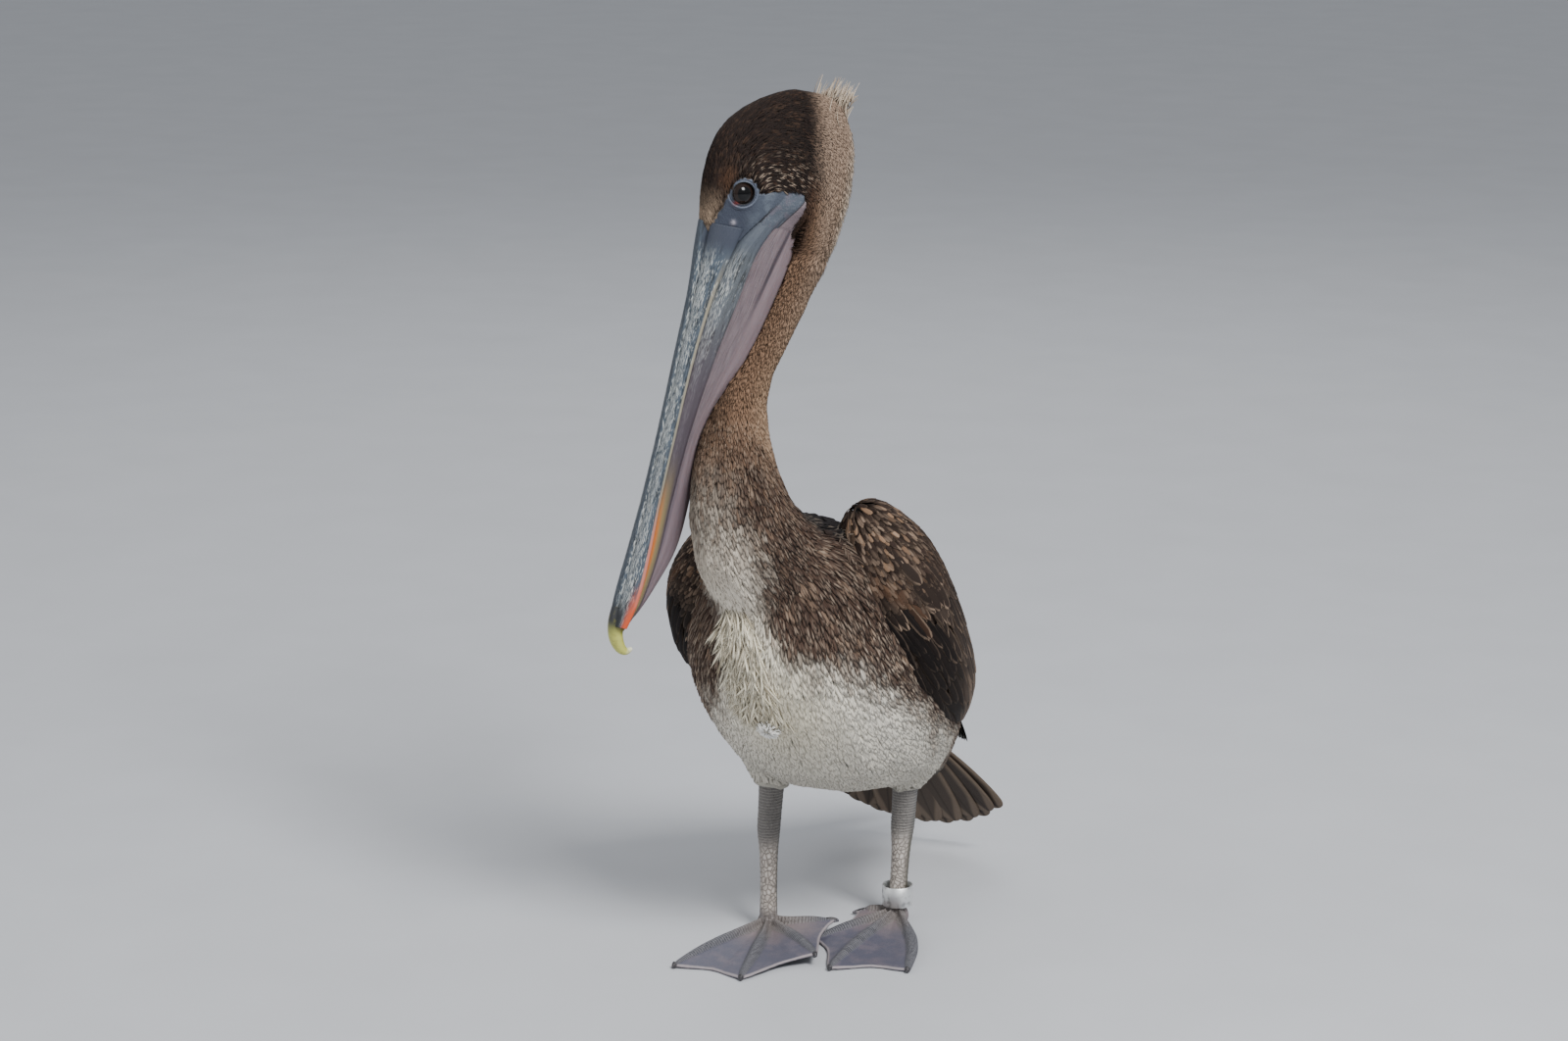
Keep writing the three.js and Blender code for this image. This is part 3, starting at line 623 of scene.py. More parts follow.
class PelicanPlumage(bpy.types.PropertyGroup):
    seed: IntProperty(name="Seed", description="Seed of the feathers' places", default=7)
    voxel: FloatProperty(
        name="Skin detail", description="Cell size of the skin", default=2.9 * MM, unit="LENGTH")
    crown: colour_property("Crown", "Dark cap of the head", tone(36, 28, 25))
    nape: colour_property("Nape", "Pale back of the head", tone(146, 125, 108))
    neck: colour_property("Neck", "Plush of the neck", tone(126, 99, 79))
    breast: colour_property("Breast", "Brown of breast and flanks", tone(88, 70, 60))
    belly: colour_property("Belly", "Pale underside", tone(238, 232, 218))
    back: colour_property("Back", "Dark back between the wings", tone(26, 23, 24))
    wing: colour_property("Wing", "Coverts", tone(46, 36, 31))
    flight: colour_property("Flight feathers", "Longest feathers", tone(24, 20, 19))
    pale_edge: colour_property("Pale edges", "Edges of wing feathers", tone(140, 120, 103))


class PelicanBill(bpy.types.PropertyGroup):
    horn: colour_property("Horn", "Blue-grey horn of the bill", tone(72, 83, 94))
    streak: colour_property("Streaks", "Whitish streaks on the horn", tone(206, 209, 205))
    edge: colour_property("Edge", "Cream cutting edge", tone(148, 140, 120))
    glow: colour_property("Tip", "Orange-red near the tip", tone(206, 84, 42))
    nail: colour_property("Nail", "Yellow-green hook", tone(186, 186, 92))
    pouch: colour_property("Pouch", "Mauve skin of the pouch", tone(104, 92, 96))
    face: colour_property("Face", "Slate skin round the eye", tone(62, 69, 81))


class PelicanFeet(bpy.types.PropertyGroup):
    shank: colour_property("Shank", "Scaly skin of the legs", tone(176, 167, 158))
    web: colour_property("Web", "Skin between the toes", tone(82, 82, 96))
    voxel: FloatProperty(
        name="Foot detail", description="Cell size of the feet", default=0.9 * MM, unit="LENGTH")


class PelicanStage(bpy.types.PropertyGroup):
    floor: colour_property("Floor", "Pale floor", tone(196, 198, 202))
    key: FloatProperty(name="Key light", description="Power of the main light", default=150, unit="POWER")
    fill: FloatProperty(name="Fill light", description="Power of the fill", default=22, unit="POWER")


def settings(part):
    return getattr(bpy.context.scene, f"pelican_{part}")


# ---------------------------------------------------------------- skin
FLESH = ["trunk", "wing_left", "wing_right", "neck_lower", "neck_upper", "head",
         "thigh_left", "thigh_right"]
BILL_PLUGS = ["bill_upper", "bill_lower", "pouch"]
PLUG_END = 4  # the plugs in the face reach this far along the bill
PLUG_SHRINK = 1.2
SKIN_ROUNDS = 6  # of smoothing over the whole skin
JOINT_ROUNDS = 16  # more of it where the head sits on the neck
COAT_DEPTH = {"head": 1.4, "neck": 2.8, "body": 4.5, "wing": 3.6, "wing_end": 1.2}


def wing_ways(sign, lean):
    """The ways out of a folded wing and up along its height."""
    return (LEFT * sign * cosine(lean) + BACKWARD * sine(lean),
            -LEFT * sign * sine(lean) + BACKWARD * cosine(lean))


def wing_core(sign):
    """The folded wing as one smooth form, out to the tips of its longest feathers."""
    last = len(WING) - 1
    rings = []
    for t in np.linspace(0, 1, WING_STEPS):
        q, p, x, height, thickness, lean = rows_at(WING, t)[0]
        shown = min(t * last / (WING_SOLID_ROWS - 1), 1)
        out, up = wing_ways(sign, lean)
        middle = body_point(sign * x, q, p - WING_SAG[sign] * (1 - shown))
        rings.append(oval_ring(middle, out, up, thickness, height, 34, WING_ROUNDNESS))
    return mesh_of(f"wing_core_{sign}", *loft(rings))


def bill_plug(node):
    """The part of a bill piece that lies inside the face, so that the skin closes over it."""
    work = opened(frame["nodes"][node].data)
    bmesh.ops.remove_doubles(work, verts=work.verts, dist=1e-6)
    geometry = work.verts[:] + work.edges[:] + work.faces[:]
    cut = bmesh.ops.bisect_plane(
        work, geom=geometry, plane_co=Vector(head_point(0, PLUG_END, 0)),
        plane_no=Vector(BILL_WAY), clear_outer=True)
    edges = [item for item in cut["geom_cut"] if isinstance(item, bmesh.types.BMEdge)]
    bmesh.ops.holes_fill(work, edges=edges)
    work.normal_update()
    for vert in work.verts:
        vert.co -= vert.normal * PLUG_SHRINK * MM
    return closed(work, bpy.data.meshes.new(f"plug_{node}"))


NECK_STEPS = 50


def neck_place(points):
    """For each point: its share along the neck and its distance from the neck's surface, in mm."""
    line = rows_at(NECK, np.linspace(0, 1, NECK_STEPS))
    gaps = gaps_between((points - ORIGIN) / MM, line[:, :3]) - line[:, 3]
    nearest = gaps.argmin(axis=1)
    return nearest / (NECK_STEPS - 1), gaps[np.arange(len(points)), nearest]


def from_neck(points):
    """The way from the neck's middle line to each point, in millimetres."""
    return (points - place(rows_at(NECK, neck_place(points)[0])[:, :3])) / MM


def region_shares(points):
    """How far each point belongs to the head and to the neck, from 0 to 1."""
    side, s, n = head_coordinates(points)
    along, gap = neck_place(points)
    head = smooth(-s, -16, 4) * (s < 30) * smooth(n, -150, -125)
    neck = smooth(along, 0.1, 0.22) * smooth(-gap, -14, -4) * (1 - head)
    return head, neck


def coat_depth(points):
    """How far the skin lies inside the plumage's surface, in millimetres."""
    head, neck = region_shares(points)
    depth = COAT_DEPTH["body"] + (COAT_DEPTH["neck"] - COAT_DEPTH["body"]) * neck
    depth = depth * (1 - head) + COAT_DEPTH["head"] * head
    wing_end = smooth(body_coordinates(points)[1], 240, 300)
    return depth * (1 - wing_end) + COAT_DEPTH["wing_end"] * wing_end


def in_face(points, margin=0):
    """Whether points on the side of the head lie on the bare skin of the face."""
    side, s, n = head_coordinates(points)
    ragged = 1.3 * grain(points, 3.2, 12)
    s, n = s + ragged, n + ragged
    edge = np.array(FACE_EDGE, float)
    middle = edge.mean(0)
    edge = middle + (edge - middle) * (1 + margin)
    inside = np.zeros(len(points), bool)
    for (s0, n0), (s1, n1) in zip(edge, np.roll(edge, -1, axis=0)):
        crosses = (n0 > n) != (n1 > n)
        with np.errstate(divide="ignore", invalid="ignore"):
            at = (s1 - s0) * (n - n0) / (n1 - n0) + s0
        inside ^= crosses & (s < at)
    return inside & (np.abs(side) > 5)


def refined(mesh):
    """The skin with smaller faces on the face, and smaller still round the eyes."""
    work = opened(mesh)
    for reach in (None, 60, 13):
        middles = np.array([face.calc_center_median() for face in work.faces])
        side, s, n = head_coordinates(middles)
        wanted = (np.abs(side) > 7) & (s > -52) & (s < 12) & (n > -80) & (n < 4)
        if reach:
            wanted &= (reach_from(EYE[1:], s, n) < reach) & (s < 4) & (n < -2)
        work.faces.ensure_lookup_table()
        edges = {edge for k in np.flatnonzero(wanted) for edge in work.faces[k].edges}
        bmesh.ops.subdivide_edges(work, edges=list(edges), cuts=1, use_grid_fill=True)
    bmesh.ops.triangulate(work, faces=[face for face in work.faces if len(face.verts) > 4])
    closed(work, mesh)


# Lines on the side of the face, as their rise for each s and how far below the ridge they start.
MOUTH = (0.61, 32)
FOLD = (0.6, 50.2)  # where the lower bill meets the pouch


def mouth_line(s):
    return MOUTH[0] * s - MOUTH[1]


def fold_line(s):
    return FOLD[0] * s - FOLD[1]


def oval_half(rows, s, n, roundness, extra=0):
    """Half width at s and n of a part of the bill that is lofted through rows of oval sections."""
    columns = columns_at(rows, s)
    top, bottom, wide, narrow = *columns[:3], columns[-1]
    rise = np.clip((2 * n - top - bottom) / (top - bottom), -1, 1)
    across = (1 - np.abs(rise) ** roundness) ** (1 / roundness)
    return (narrow + (wide - narrow) * (rise + 1) / 2 + extra) * across


def upper_half(s, n):
    """Half width at s and n of the upper bill."""
    ridge, edge, half = columns_at(BILL_UPPER, s)
    across, height = zip(*BILL_SECTION[6:2:-1])
    return half * np.interp((n - edge) / (ridge - edge), height, across)


def shape_face(mesh):
    """Sinks the eye openings, raises the lids and rings round them, and puts in the wart."""
    points = points_of(mesh)
    side, s, n = head_coordinates(points)
    distance = reach_from(EYE[1:], s, n)
    ball = EYE[0] + np.sqrt(np.maximum(EYE_RADIUS**2 - distance**2, 0))
    lateral = np.abs(side)
    near = (lateral > 8) & (distance < 13) & (s < 0)
    opening = 1 - smooth(distance, OPENING - 0.1, OPENING + 0.6)
    lid = np.maximum(lateral, ball + 0.5) + 0.6 * hump(distance, OPENING + 0.9, 0.7)
    ring = 0.5 * hump(distance, 11.2, 0.7) - 0.4 * hump(distance, 9.9, 0.45)
    covered = np.where(distance < OPENING + 1.8, lid, lateral) + ring * smooth(distance, 9.2, 9.7)
    shaped = covered * (1 - opening) + np.minimum(lateral, ball - 1.6) * opening
    wart = 1.3 * hump(reach_from(WART, s, n), 0, 2.2)
    hollow = 1.2 * hump(np.hypot((s - WART[0]) / 13, (n - WART[1] + 1) / 7), 0, 1)
    front = smooth(-s, -12, 4)
    mouth = 0.9 * hump(n - mouth_line(s), 0, 1.5) * smooth(-s, -6, 2) * smooth(s, -36, -20)
    fold = 0.8 * hump(n - fold_line(s), 0, 1.4) * front
    relief = np.where(lateral > 8, wart - hollow * front - mouth - fold, 0)
    below = np.maximum(oval_half(POUCH, s, n, POUCH_ROUNDNESS, POUCH_EXTRA),
                       oval_half(BILL_LOWER, s, n, LOWER_ROUNDNESS))
    under = 0.3 - 1.8 * smooth(s, -16, 0)
    settled = smooth(s, -30, -4) * (s < 12) * (lateral > 6) * (n > -77) * (n < mouth_line(s) + 2)
    relief = relief + (np.minimum(below + under, lateral) - lateral) * settled
    above = upper_half(s, n) + 0.3 - 1.6 * smooth(s, -8, 3)
    settled = smooth(s, -16, -2) * (s < 12) * (lateral > 8) * (n > mouth_line(s) + 2)
    settled = settled * smooth(-n, 4, 9)
    relief = relief + (np.minimum(above, lateral) - lateral) * settled
    moved = np.where(near, shaped, lateral + relief) - lateral
    points += MM * (moved * np.sign(side))[:, None] * HEAD_SIDE
    move_points(mesh, points)


def soften_joint(mesh):
    """Rounds off the skin where the head sits on the neck."""
    side, s, n = head_coordinates(points_of(mesh))
    chosen = (s > -34) & (s < 46) & (n < -74) & (n > -150)
    work = opened(mesh)
    work.verts.ensure_lookup_table()
    verts = [work.verts[k] for k in np.flatnonzero(chosen)]
    axes = {f"use_axis_{axis}": True for axis in "xyz"}
    for turn in range(JOINT_ROUNDS):
        bmesh.ops.smooth_vert(work, verts=verts, factor=0.5, **axes)
    closed(work, mesh)


def make_skin():
    """One closed skin for head, neck, trunk, thighs and wings, inside them by the coat's depth."""
    work = opened(*[frame["nodes"][node].data for node in FLESH + ["eye_left", "eye_right"]],
                  wing_core(1), wing_core(-1), *[bill_plug(node) for node in BILL_PLUGS])
    bmesh.ops.remove_doubles(work, verts=work.verts, dist=1e-7)
    source = closed(work, bpy.data.meshes.new("skin_source"))
    mesh = remeshed("skin", source, settings("plumage").voxel, SKIN_ROUNDS)
    soften_joint(mesh)
    points, normals = points_of(mesh), normals_of(mesh)
    depth = np.where(in_face(points), 0.1, coat_depth(points))
    move_points(mesh, points - MM * depth[:, None] * normals)
    refined(mesh)
    shape_face(mesh)
    mesh.shade_smooth()
    return mesh


# ---------------------------------------------------------------- markings and painted shade
def grain(points, size, seed=0):
    """Smooth noise from -1 to 1 at the points; size is its scale in millimetres."""
    shift = Vector((seed * 17.3, seed * 5.1, seed * 9.7))
    return np.array([noise.noise(Vector(spot) / (size * MM) + shift) for spot in points])


def line_gap(points, line):
    """Distance in millimetres from each point to a smooth line through places on the trunk's axes."""
    return gaps_between(body_coordinates(points).T, rows_at(line, np.linspace(0, 1, 24))).min(1)


def ball_gap(points):
    """Distance in millimetres from each point to the middle of the ball of down."""
    return line_gap(points, [BALL] * 2)


def pale_share(points):
    """1 on the pale underside and the stripe up the breast, 0 on the brown."""
    x, q, p = body_coordinates(points)
    height = points[:, 2] / MM
    ragged = 7 * grain(points, 14, 1) + 7 * grain(points, 5, 2)
    edge = columns_at(BELLY_EDGE, q)[0] - 18 * smooth(-x, 32, 56)
    under = smooth(edge + ragged - height, -12, 12)
    left, right, strength = columns_at(STRIPE, height)
    inside = np.minimum(x - left, right - x)
    wander = 9 * grain(points, 9, 11) + 9 * grain(points, 4, 13)
    stripe = smooth(inside + wander, -15, 13) * strength * (q < -25)
    stripe = stripe * (1 - 0.55 * smooth(grain(points, 5, 25), -0.1, 0.3) * smooth(height, 320, 362))
    pale = np.maximum(under, stripe)
    return pale * (1 - 0.8 * hump(line_gap(points, FLANK_STREAK), 0, 6))


def brown_colour(points):
    """The brown of breast, flanks and lower neck, with buff flecks, and the dark back."""
    deep = smooth(points[:, 2] / MM, 250, 340)
    buff = smooth(grain(points, 9, 4) + 0.6 * grain(points, 4, 5), 0.1, 0.7)
    return layered(
        settings("plumage").breast,
        (tone(66, 51, 43), 0.35 + 0.65 * deep),
        (tone(58, 45, 38), 0.5 * smooth(grain(points, 26, 3), -0.3, 0.5)),
        (tone(146, 122, 102), (0.7 - 0.35 * deep) * buff))


def back_share(points):
    """1 on the dark back between the wings, 0 elsewhere."""
    x, q, p = body_coordinates(points)
    slope = 0.3 * np.clip(q + 84, 0, 50)
    return smooth(p + slope + 3 * grain(points, 9, 31), 20, 34) * smooth(q, -104, -84)


def with_crease_shade_and_back(points, colour):
    """The colour with the painted shade in the crease beside the bill, and the dark back over it."""
    return layered(colour,
                   (tone(44, 34, 30), 0.85 * hump(line_gap(points, CREASE_SHADE), 0, 5)),
                   (settings("plumage").back, back_share(points)))


def body_colour(points):
    x, q, p = body_coordinates(points)
    creamy = hump(x, 0, 46) * hump(q, 15, 75)
    pale = layered(
        settings("plumage").belly,
        (tone(234, 222, 188), 0.6 * creamy),
        # Painted shade: the belly greyer and darker towards the tail.
        (tone(198, 193, 180), 0.85 * smooth(q, 0, 130)),
        # Painted shade in a ring round the ball of down.
        (tone(140, 126, 98), 0.75 * hump(ball_gap(points), 9, 3)))
    return with_crease_shade_and_back(points, mixed(brown_colour(points), pale, pale_share(points)))


def neck_colour(points):
    plumage = settings("plumage")
    along, ahead = neck_place(points)[0], from_neck(points) @ HEADING
    front = smooth(ahead, 2, 18) * smooth(along, 0.36, 0.44) * (1 - smooth(along, 0.7, 0.9))
    dapple = smooth(grain(points, 5, 21), -0.1, 0.4)
    plush = layered(
        plumage.neck,
        (tone(150, 124, 101), smooth(-ahead, -2, 18)),
        (plumage.nape, smooth(along, 0.55, 0.95) * smooth(-ahead, -8, 10)),
        # The front of the neck a darker brown, partly its own colour and partly painted shade under the
        # pouch.
        (tone(66, 50, 39), front * (0.65 + 0.3 * dapple)))
    low = 1 - smooth(along + 0.05 * grain(points, 12, 22), 0.31, 0.49)
    fleck = smooth(grain(points, 4, 23) + 0.4 * grain(points, 2, 24), 0.15, 0.5)
    speckled = layered(brown_colour(points),
                       (tone(206, 196, 180), pale_share(points)),
                       (tone(112, 88, 70), 0.45 * fleck * smooth(points[:, 2], 0.33, 0.37)))
    return with_crease_shade_and_back(points, mixed(plush, speckled, low))


def head_colour(points):
    plumage = settings("plumage")
    side, s, n = head_coordinates(points)
    fine = grain(points, 3, 6)
    crown_grain = smooth(fine + 0.7 * grain(points, 1.3, 7), 0, 0.7)
    behind = n + columns_at(NAPE_EDGE, s)[0]
    nape = smooth(-behind + 2.5 * fine + 2 * grain(points, 1.8, 16), -9, 11)
    forehead = smooth(s, -38, -2) * smooth(n, -18, -3)
    before_eye = hump(s, -41, 9) * hump(n, -9, 5)
    dots = smooth(grain(points, 1.9, 8) + 0.3 * grain(points, 0.8, 9), 0.26, 0.44)
    flecks = hump(s, -49, 13) * hump(n, -50, 22) * dots
    return layered(
        plumage.crown,
        (tone(74, 56, 44), crown_grain * 0.6),
        (tone(104, 81, 64), smooth(s, -52, -30) * smooth(-n, 74, 82)),
        (plumage.nape, nape),
        (tone(212, 196, 176), 0.8 * smooth(-n, 99, 111)),
        # Painted shade: a dark band behind the pouch's lower edge.
        (tone(78, 58, 46), 0.7 * hump(n, -76, 5) * smooth(s, -60, -40)),
        (tone(168, 146, 124), forehead * (0.7 + 0.3 * fine)),
        (tone(98, 69, 49), 0.4 * before_eye),
        (tone(190, 170, 150), 0.85 * flecks))


def wing_zones(points):
    """Shares of the small coverts, the black, the light strip at the front edge and the low part."""
    x, q, p = body_coordinates(points)
    small = smooth(np.clip(-30 + 0.9 * (p + 5), -35, 30) - q, -6, 6)
    edge_line = -9 - 0.42 * (q + 35)
    strip = hump(p - edge_line, 1, 3) * smooth(q, -48, -38) * (1 - smooth(q, -2, 16))
    low = smooth(-p - 14 - 0.09 * np.maximum(q, 0), -4, 4)
    black = low * smooth(q, -26, -12) * (1 - 0.6 * smooth(q, 30, 60))
    return small, black, strip, low


def wing_colour(points):
    plumage = settings("plumage")
    small, black, strip, low = wing_zones(points)
    bend = 1 - smooth(body_coordinates(points)[1], -58, -36)
    patch = smooth(grain(points, 9, 9), -0.3, 0.4)
    rear = mixed(tone(56, 47, 41), tone(36, 29, 26), smooth(grain(points, 6, 15), -0.2, 0.4))
    buff = smooth(grain(points, 4, 10) + 0.6 * grain(points, 2, 14), 0.2, 0.55)
    return layered(
        plumage.wing,
        (np.array(plumage.wing) * 0.45, 0.75 * patch * small),
        (rear, (1 - small) * (1 - low)),
        (tone(38, 31, 27), (1 - small) * low),
        (plumage.flight, black),
        (tone(88, 63, 46), 0.6 * strip),
        (tone(146, 116, 92), (0.2 + 0.55 * bend) * buff * small))


def plumage_colour(points):
    """The colour of the plumage anywhere on the bird; skin and coat share it."""
    head, neck = region_shares(points)
    return layered(body_colour(points), (neck_colour(points), neck), (head_colour(points), head))


# ---------------------------------------------------------------- materials
def plumage_paint(name, barbs, pale, shaft, roughness=0.8, variation=0.22, root_shade=0.3, sheen=0.2):
    """Feather paint: its ground comes from the root, its shaft, edges and barbs from the vane."""
    paint = Paint(name, Sheen_Weight=sheen, Sheen_Roughness=0.5, Specular_IOR_Level=0.1)
    ground = paint.attribute("ground", "Vector")
    fleck, edge, tint = paint.split(paint.attribute("marks", "Vector"))
    across, along = paint.attributes("across", "along")
    out = abs(across)
    streak = (out + along * -0.3).between(0.45, 0.0) * along.between(0.3, 0.7) * fleck
    rim = (out + along.between(0.75, 1.0) * 0.5).between(0.55, 0.85) * edge
    colour = paint.layers(ground, (pale, streak), (pale, rim), (shaft, out.between(0.1, 0.03) * edge * 0.8))
    lines = ((out * barbs[0] - along * barbs[1]) * (2 * math.pi)).wave()
    shade = tint * variation + lines * 0.06 + (1 - variation / 2)
    shade = shade * (along.between(0.0, 0.5) * root_shade + (1 - root_shade))
    colour = paint.mix(colour, paint.vector(shade, shade, shade), 1.0, "MULTIPLY")
    return paint.finish(colour, tint * 0.1 + roughness, paint.bump(lines, 0.08 * MM, 0.5))


def skin_paint():
    """Bare skin of the face, with the roots of bill and pouch, and the ground under the coat."""
    paint = Paint("bare_face_skin", Specular_IOR_Level=0.4)
    spot = paint.coordinates()
    bill = settings("bill")
    bare = paint.attribute("bare")
    side, s, n = paint.split(paint.attribute("face", "Vector"))
    distance = paint.node("ShaderNodeMath", {"operation": "SQRT"}, {
        0: (s - EYE[1]) ** 2 + (n - EYE[2]) ** 2})
    blotch = paint.noise(spot, 130, 5)
    fine = paint.noise(spot, 700, 4)
    above_mouth, above_fold = n - MOUTH[0] * s + MOUTH[1], n - FOLD[0] * s + FOLD[1]
    mouth = abs(above_mouth).between(1.1, 0.3) * s.between(-34, -14)
    fold = abs(above_fold).between(0.9, 0.3)
    dark = s.between(-38, -24) * n.between(-36, -26)
    ring = distance.between(12.0, 10.6) * distance.between(OPENING + 0.7, OPENING + 1.7)
    groove = distance.between(9.1, 9.8) * distance.between(10.6, 10.0)
    horn = paint.layers(tone(74, 81, 91),
                        (tone(116, 120, 126), fine.between(0.5, 0.7) * 0.6),
                        (tone(104, 96, 106), blotch.between(0.46, 0.62) * 0.5))
    face = paint.layers(
        bill.face,
        (tone(86, 94, 104), blotch.between(0.42, 0.68) * 0.8),
        (tone(44, 49, 63), dark * 0.75),
        (horn, above_mouth.between(1.5, -0.5)),
        (bill.pouch, above_fold.between(0.8, -0.6)),
        # Painted shade in the grooves of the mouth line and of the fold where the pouch meets the lower
        # bill.
        (tone(24, 26, 32), mouth + fold * 0.8),
        (tone(40, 42, 52), fine.between(0.55, 0.75) * 0.4),
        (tone(90, 97, 112), ring * 0.75),
        (tone(46, 50, 62), groove * 0.8),
        (tone(16, 16, 20), distance.between(OPENING + 1.5, OPENING + 0.7)),
        (tone(112, 42, 40), paint.attribute("corner")),
        (tone(140, 136, 144), paint.attribute("wart")))
    # The plumage colour under the coat, darkened by 0.3 as painted shade in the gaps between the feathers.
    ground = paint.mix(paint.attribute("ground", "Vector"), (0, 0, 0), 0.3)
    colour = paint.mix(ground, face, bare)
    creases = paint.borders(paint.stretched(spot, (1, 1, 0.6)), 620)
    normal = paint.bump(creases.between(0, 0.25) + fine * 0.8, 0.25 * MM, 0.6)
    return paint.finish(colour, 0.85 - bare * 0.33, normal)


def horn_paint(name, base, streak_amount, lower=False):
    """Bill horn from its own measures: along in mm from the face, height 0 at the cutting edge."""
    bill = settings("bill")
    paint = Paint(name, Specular_IOR_Level=0.45)
    along, height, turn = paint.attributes("along", "height", "turn")
    spot = paint.vector(along * 0.035, turn * 9.0, height * 2.0)
    strokes = paint.noise(spot, 2.2, 6)
    dashes = paint.noise(paint.stretched(spot, (2.6, 2.6, 3)), 2.4, 6)
    fine = paint.noise(paint.stretched(spot, (4, 14, 6)), 4, 3)
    band = height.between(0.4, 0.62) * height.between(0.98, 0.84)
    favour = band * 0.1 + 0.5
    pale = (favour + dashes - 0.5).between(0.57, 0.7) * streak_amount * along.between(-6, 40)
    colour = paint.layers(base, (tuple(0.3 * c for c in base), strokes.between(0.46, 0.64)),
                          (bill.streak, pale))
    if lower:
        colour = paint.layers(
            colour,
            (tone(74, 64, 72), along.between(40, 130) * 0.9),
            (tone(128, 114, 78), along.between(165, 225) * height.between(0.2, 0.5)),
            (tone(186, 104, 40), along.between(185, 240) * height.between(0.5, 0.72)),
            # Painted shade along the top of the lower bill, in the gap under the upper bill's edge.
            (tone(36, 34, 36), height.between(0.86, 0.97) * 0.8),
            (tone(74, 81, 91), along.between(20, 2) * 0.9))
    else:
        edge = height.between(0.27, 0.2)
        colour = paint.layers(
            colour,
            (tone(48, 56, 66), height.between(0.88, 0.97) * 0.5),
            (bill.edge, edge * along.between(8, 60) * 0.85),
            (tone(190, 118, 104), edge * along.between(190, 250)),
            (bill.glow, height.between(0.66, 0.26) * (along + dashes * 40.0).between(288, 322)),
            (tone(34, 36, 40), along.between(283, 300) * height.between(0.45, 0.7)),
            (tone(50, 56, 69), along.between(24, 4) * height.between(0.99, 0.8)))
    normal = paint.bump(fine * 0.6 + strokes * 0.8 + dashes * 0.9, 0.5 * MM, 0.7)
    return paint.finish(colour, 0.6 - fine * 0.2, normal)


def nail_paint():
    bill = settings("bill")
    paint = Paint("nail_horn", Specular_IOR_Level=0.5)
    along = paint.attribute("along")
    grainy = paint.noise(paint.coordinates(), 300, 3)
    colour = paint.layers(
        tone(36, 38, 40),
        (bill.nail, along.between(0.16, 0.4)),
        # Painted highlight: the wet gleam near the hook's tip.
        (tone(222, 222, 196), along.between(0.72, 0.98)),
        (tone(140, 134, 60), grainy.between(0.5, 0.75) * 0.5))
    return paint.finish(colour, 0.3 + grainy * 0.2, paint.bump(grainy, 0.2 * MM, 0.5))


def pouch_paint():
    bill = settings("bill")
    paint = Paint("pouch_skin", Specular_IOR_Level=0.35, Subsurface_Weight=0.08, Subsurface_Scale=0.003)
    along, height, turn = paint.attributes("along", "height", "turn")
    wrinkles = paint.noise(paint.vector(along * 0.02, turn * 26.0, 0.0), 3.0, 5)
    fine = paint.noise(paint.coordinates(), 1100, 3)
    shaded_crease = abs(height - 0.42 - along * 0.0015).between(0.06, 0.015) * along.between(80, 20)
    colour = paint.layers(
        bill.pouch,
        # Painted light on the wrinkles' ridges and painted shade in their troughs.
        (tone(128, 116, 119), wrinkles.between(0.5, 0.68) * 0.6),
        (tone(76, 65, 70), wrinkles.between(0.5, 0.34) * 0.6),
        (tone(66, 58, 68), fine.between(0.52, 0.72) * 0.35),
        (tone(92, 82, 94), along.between(130, 230) * 0.5),
        (tone(136, 118, 122), (height - along * 0.0015).between(0.42, 0.34) * 0.45),
        # Painted shade in the fold line along the pouch.
        (tone(52, 44, 52), shaded_crease * 0.85))
    normal = paint.bump(wrinkles + fine * 0.3 - shaded_crease, 0.5 * MM, 0.7)
    return paint.finish(colour, 0.55 + fine * 0.15, normal)


def eye_paint():
    paint = Paint("eye", Specular_IOR_Level=0.25, Coat_Weight=0.12, Coat_Roughness=0.03)
    reach = paint.attribute("reach")
    rays = paint.noise(paint.coordinates(), 1400, 3)
    iris = paint.mix(tone(24, 18, 16), tone(40, 29, 24), rays)
    colour = paint.mix(tone(4, 4, 5), iris, reach.between(0.66, 0.72))
    return paint.finish(colour, 0.12 + rays * 0.05)


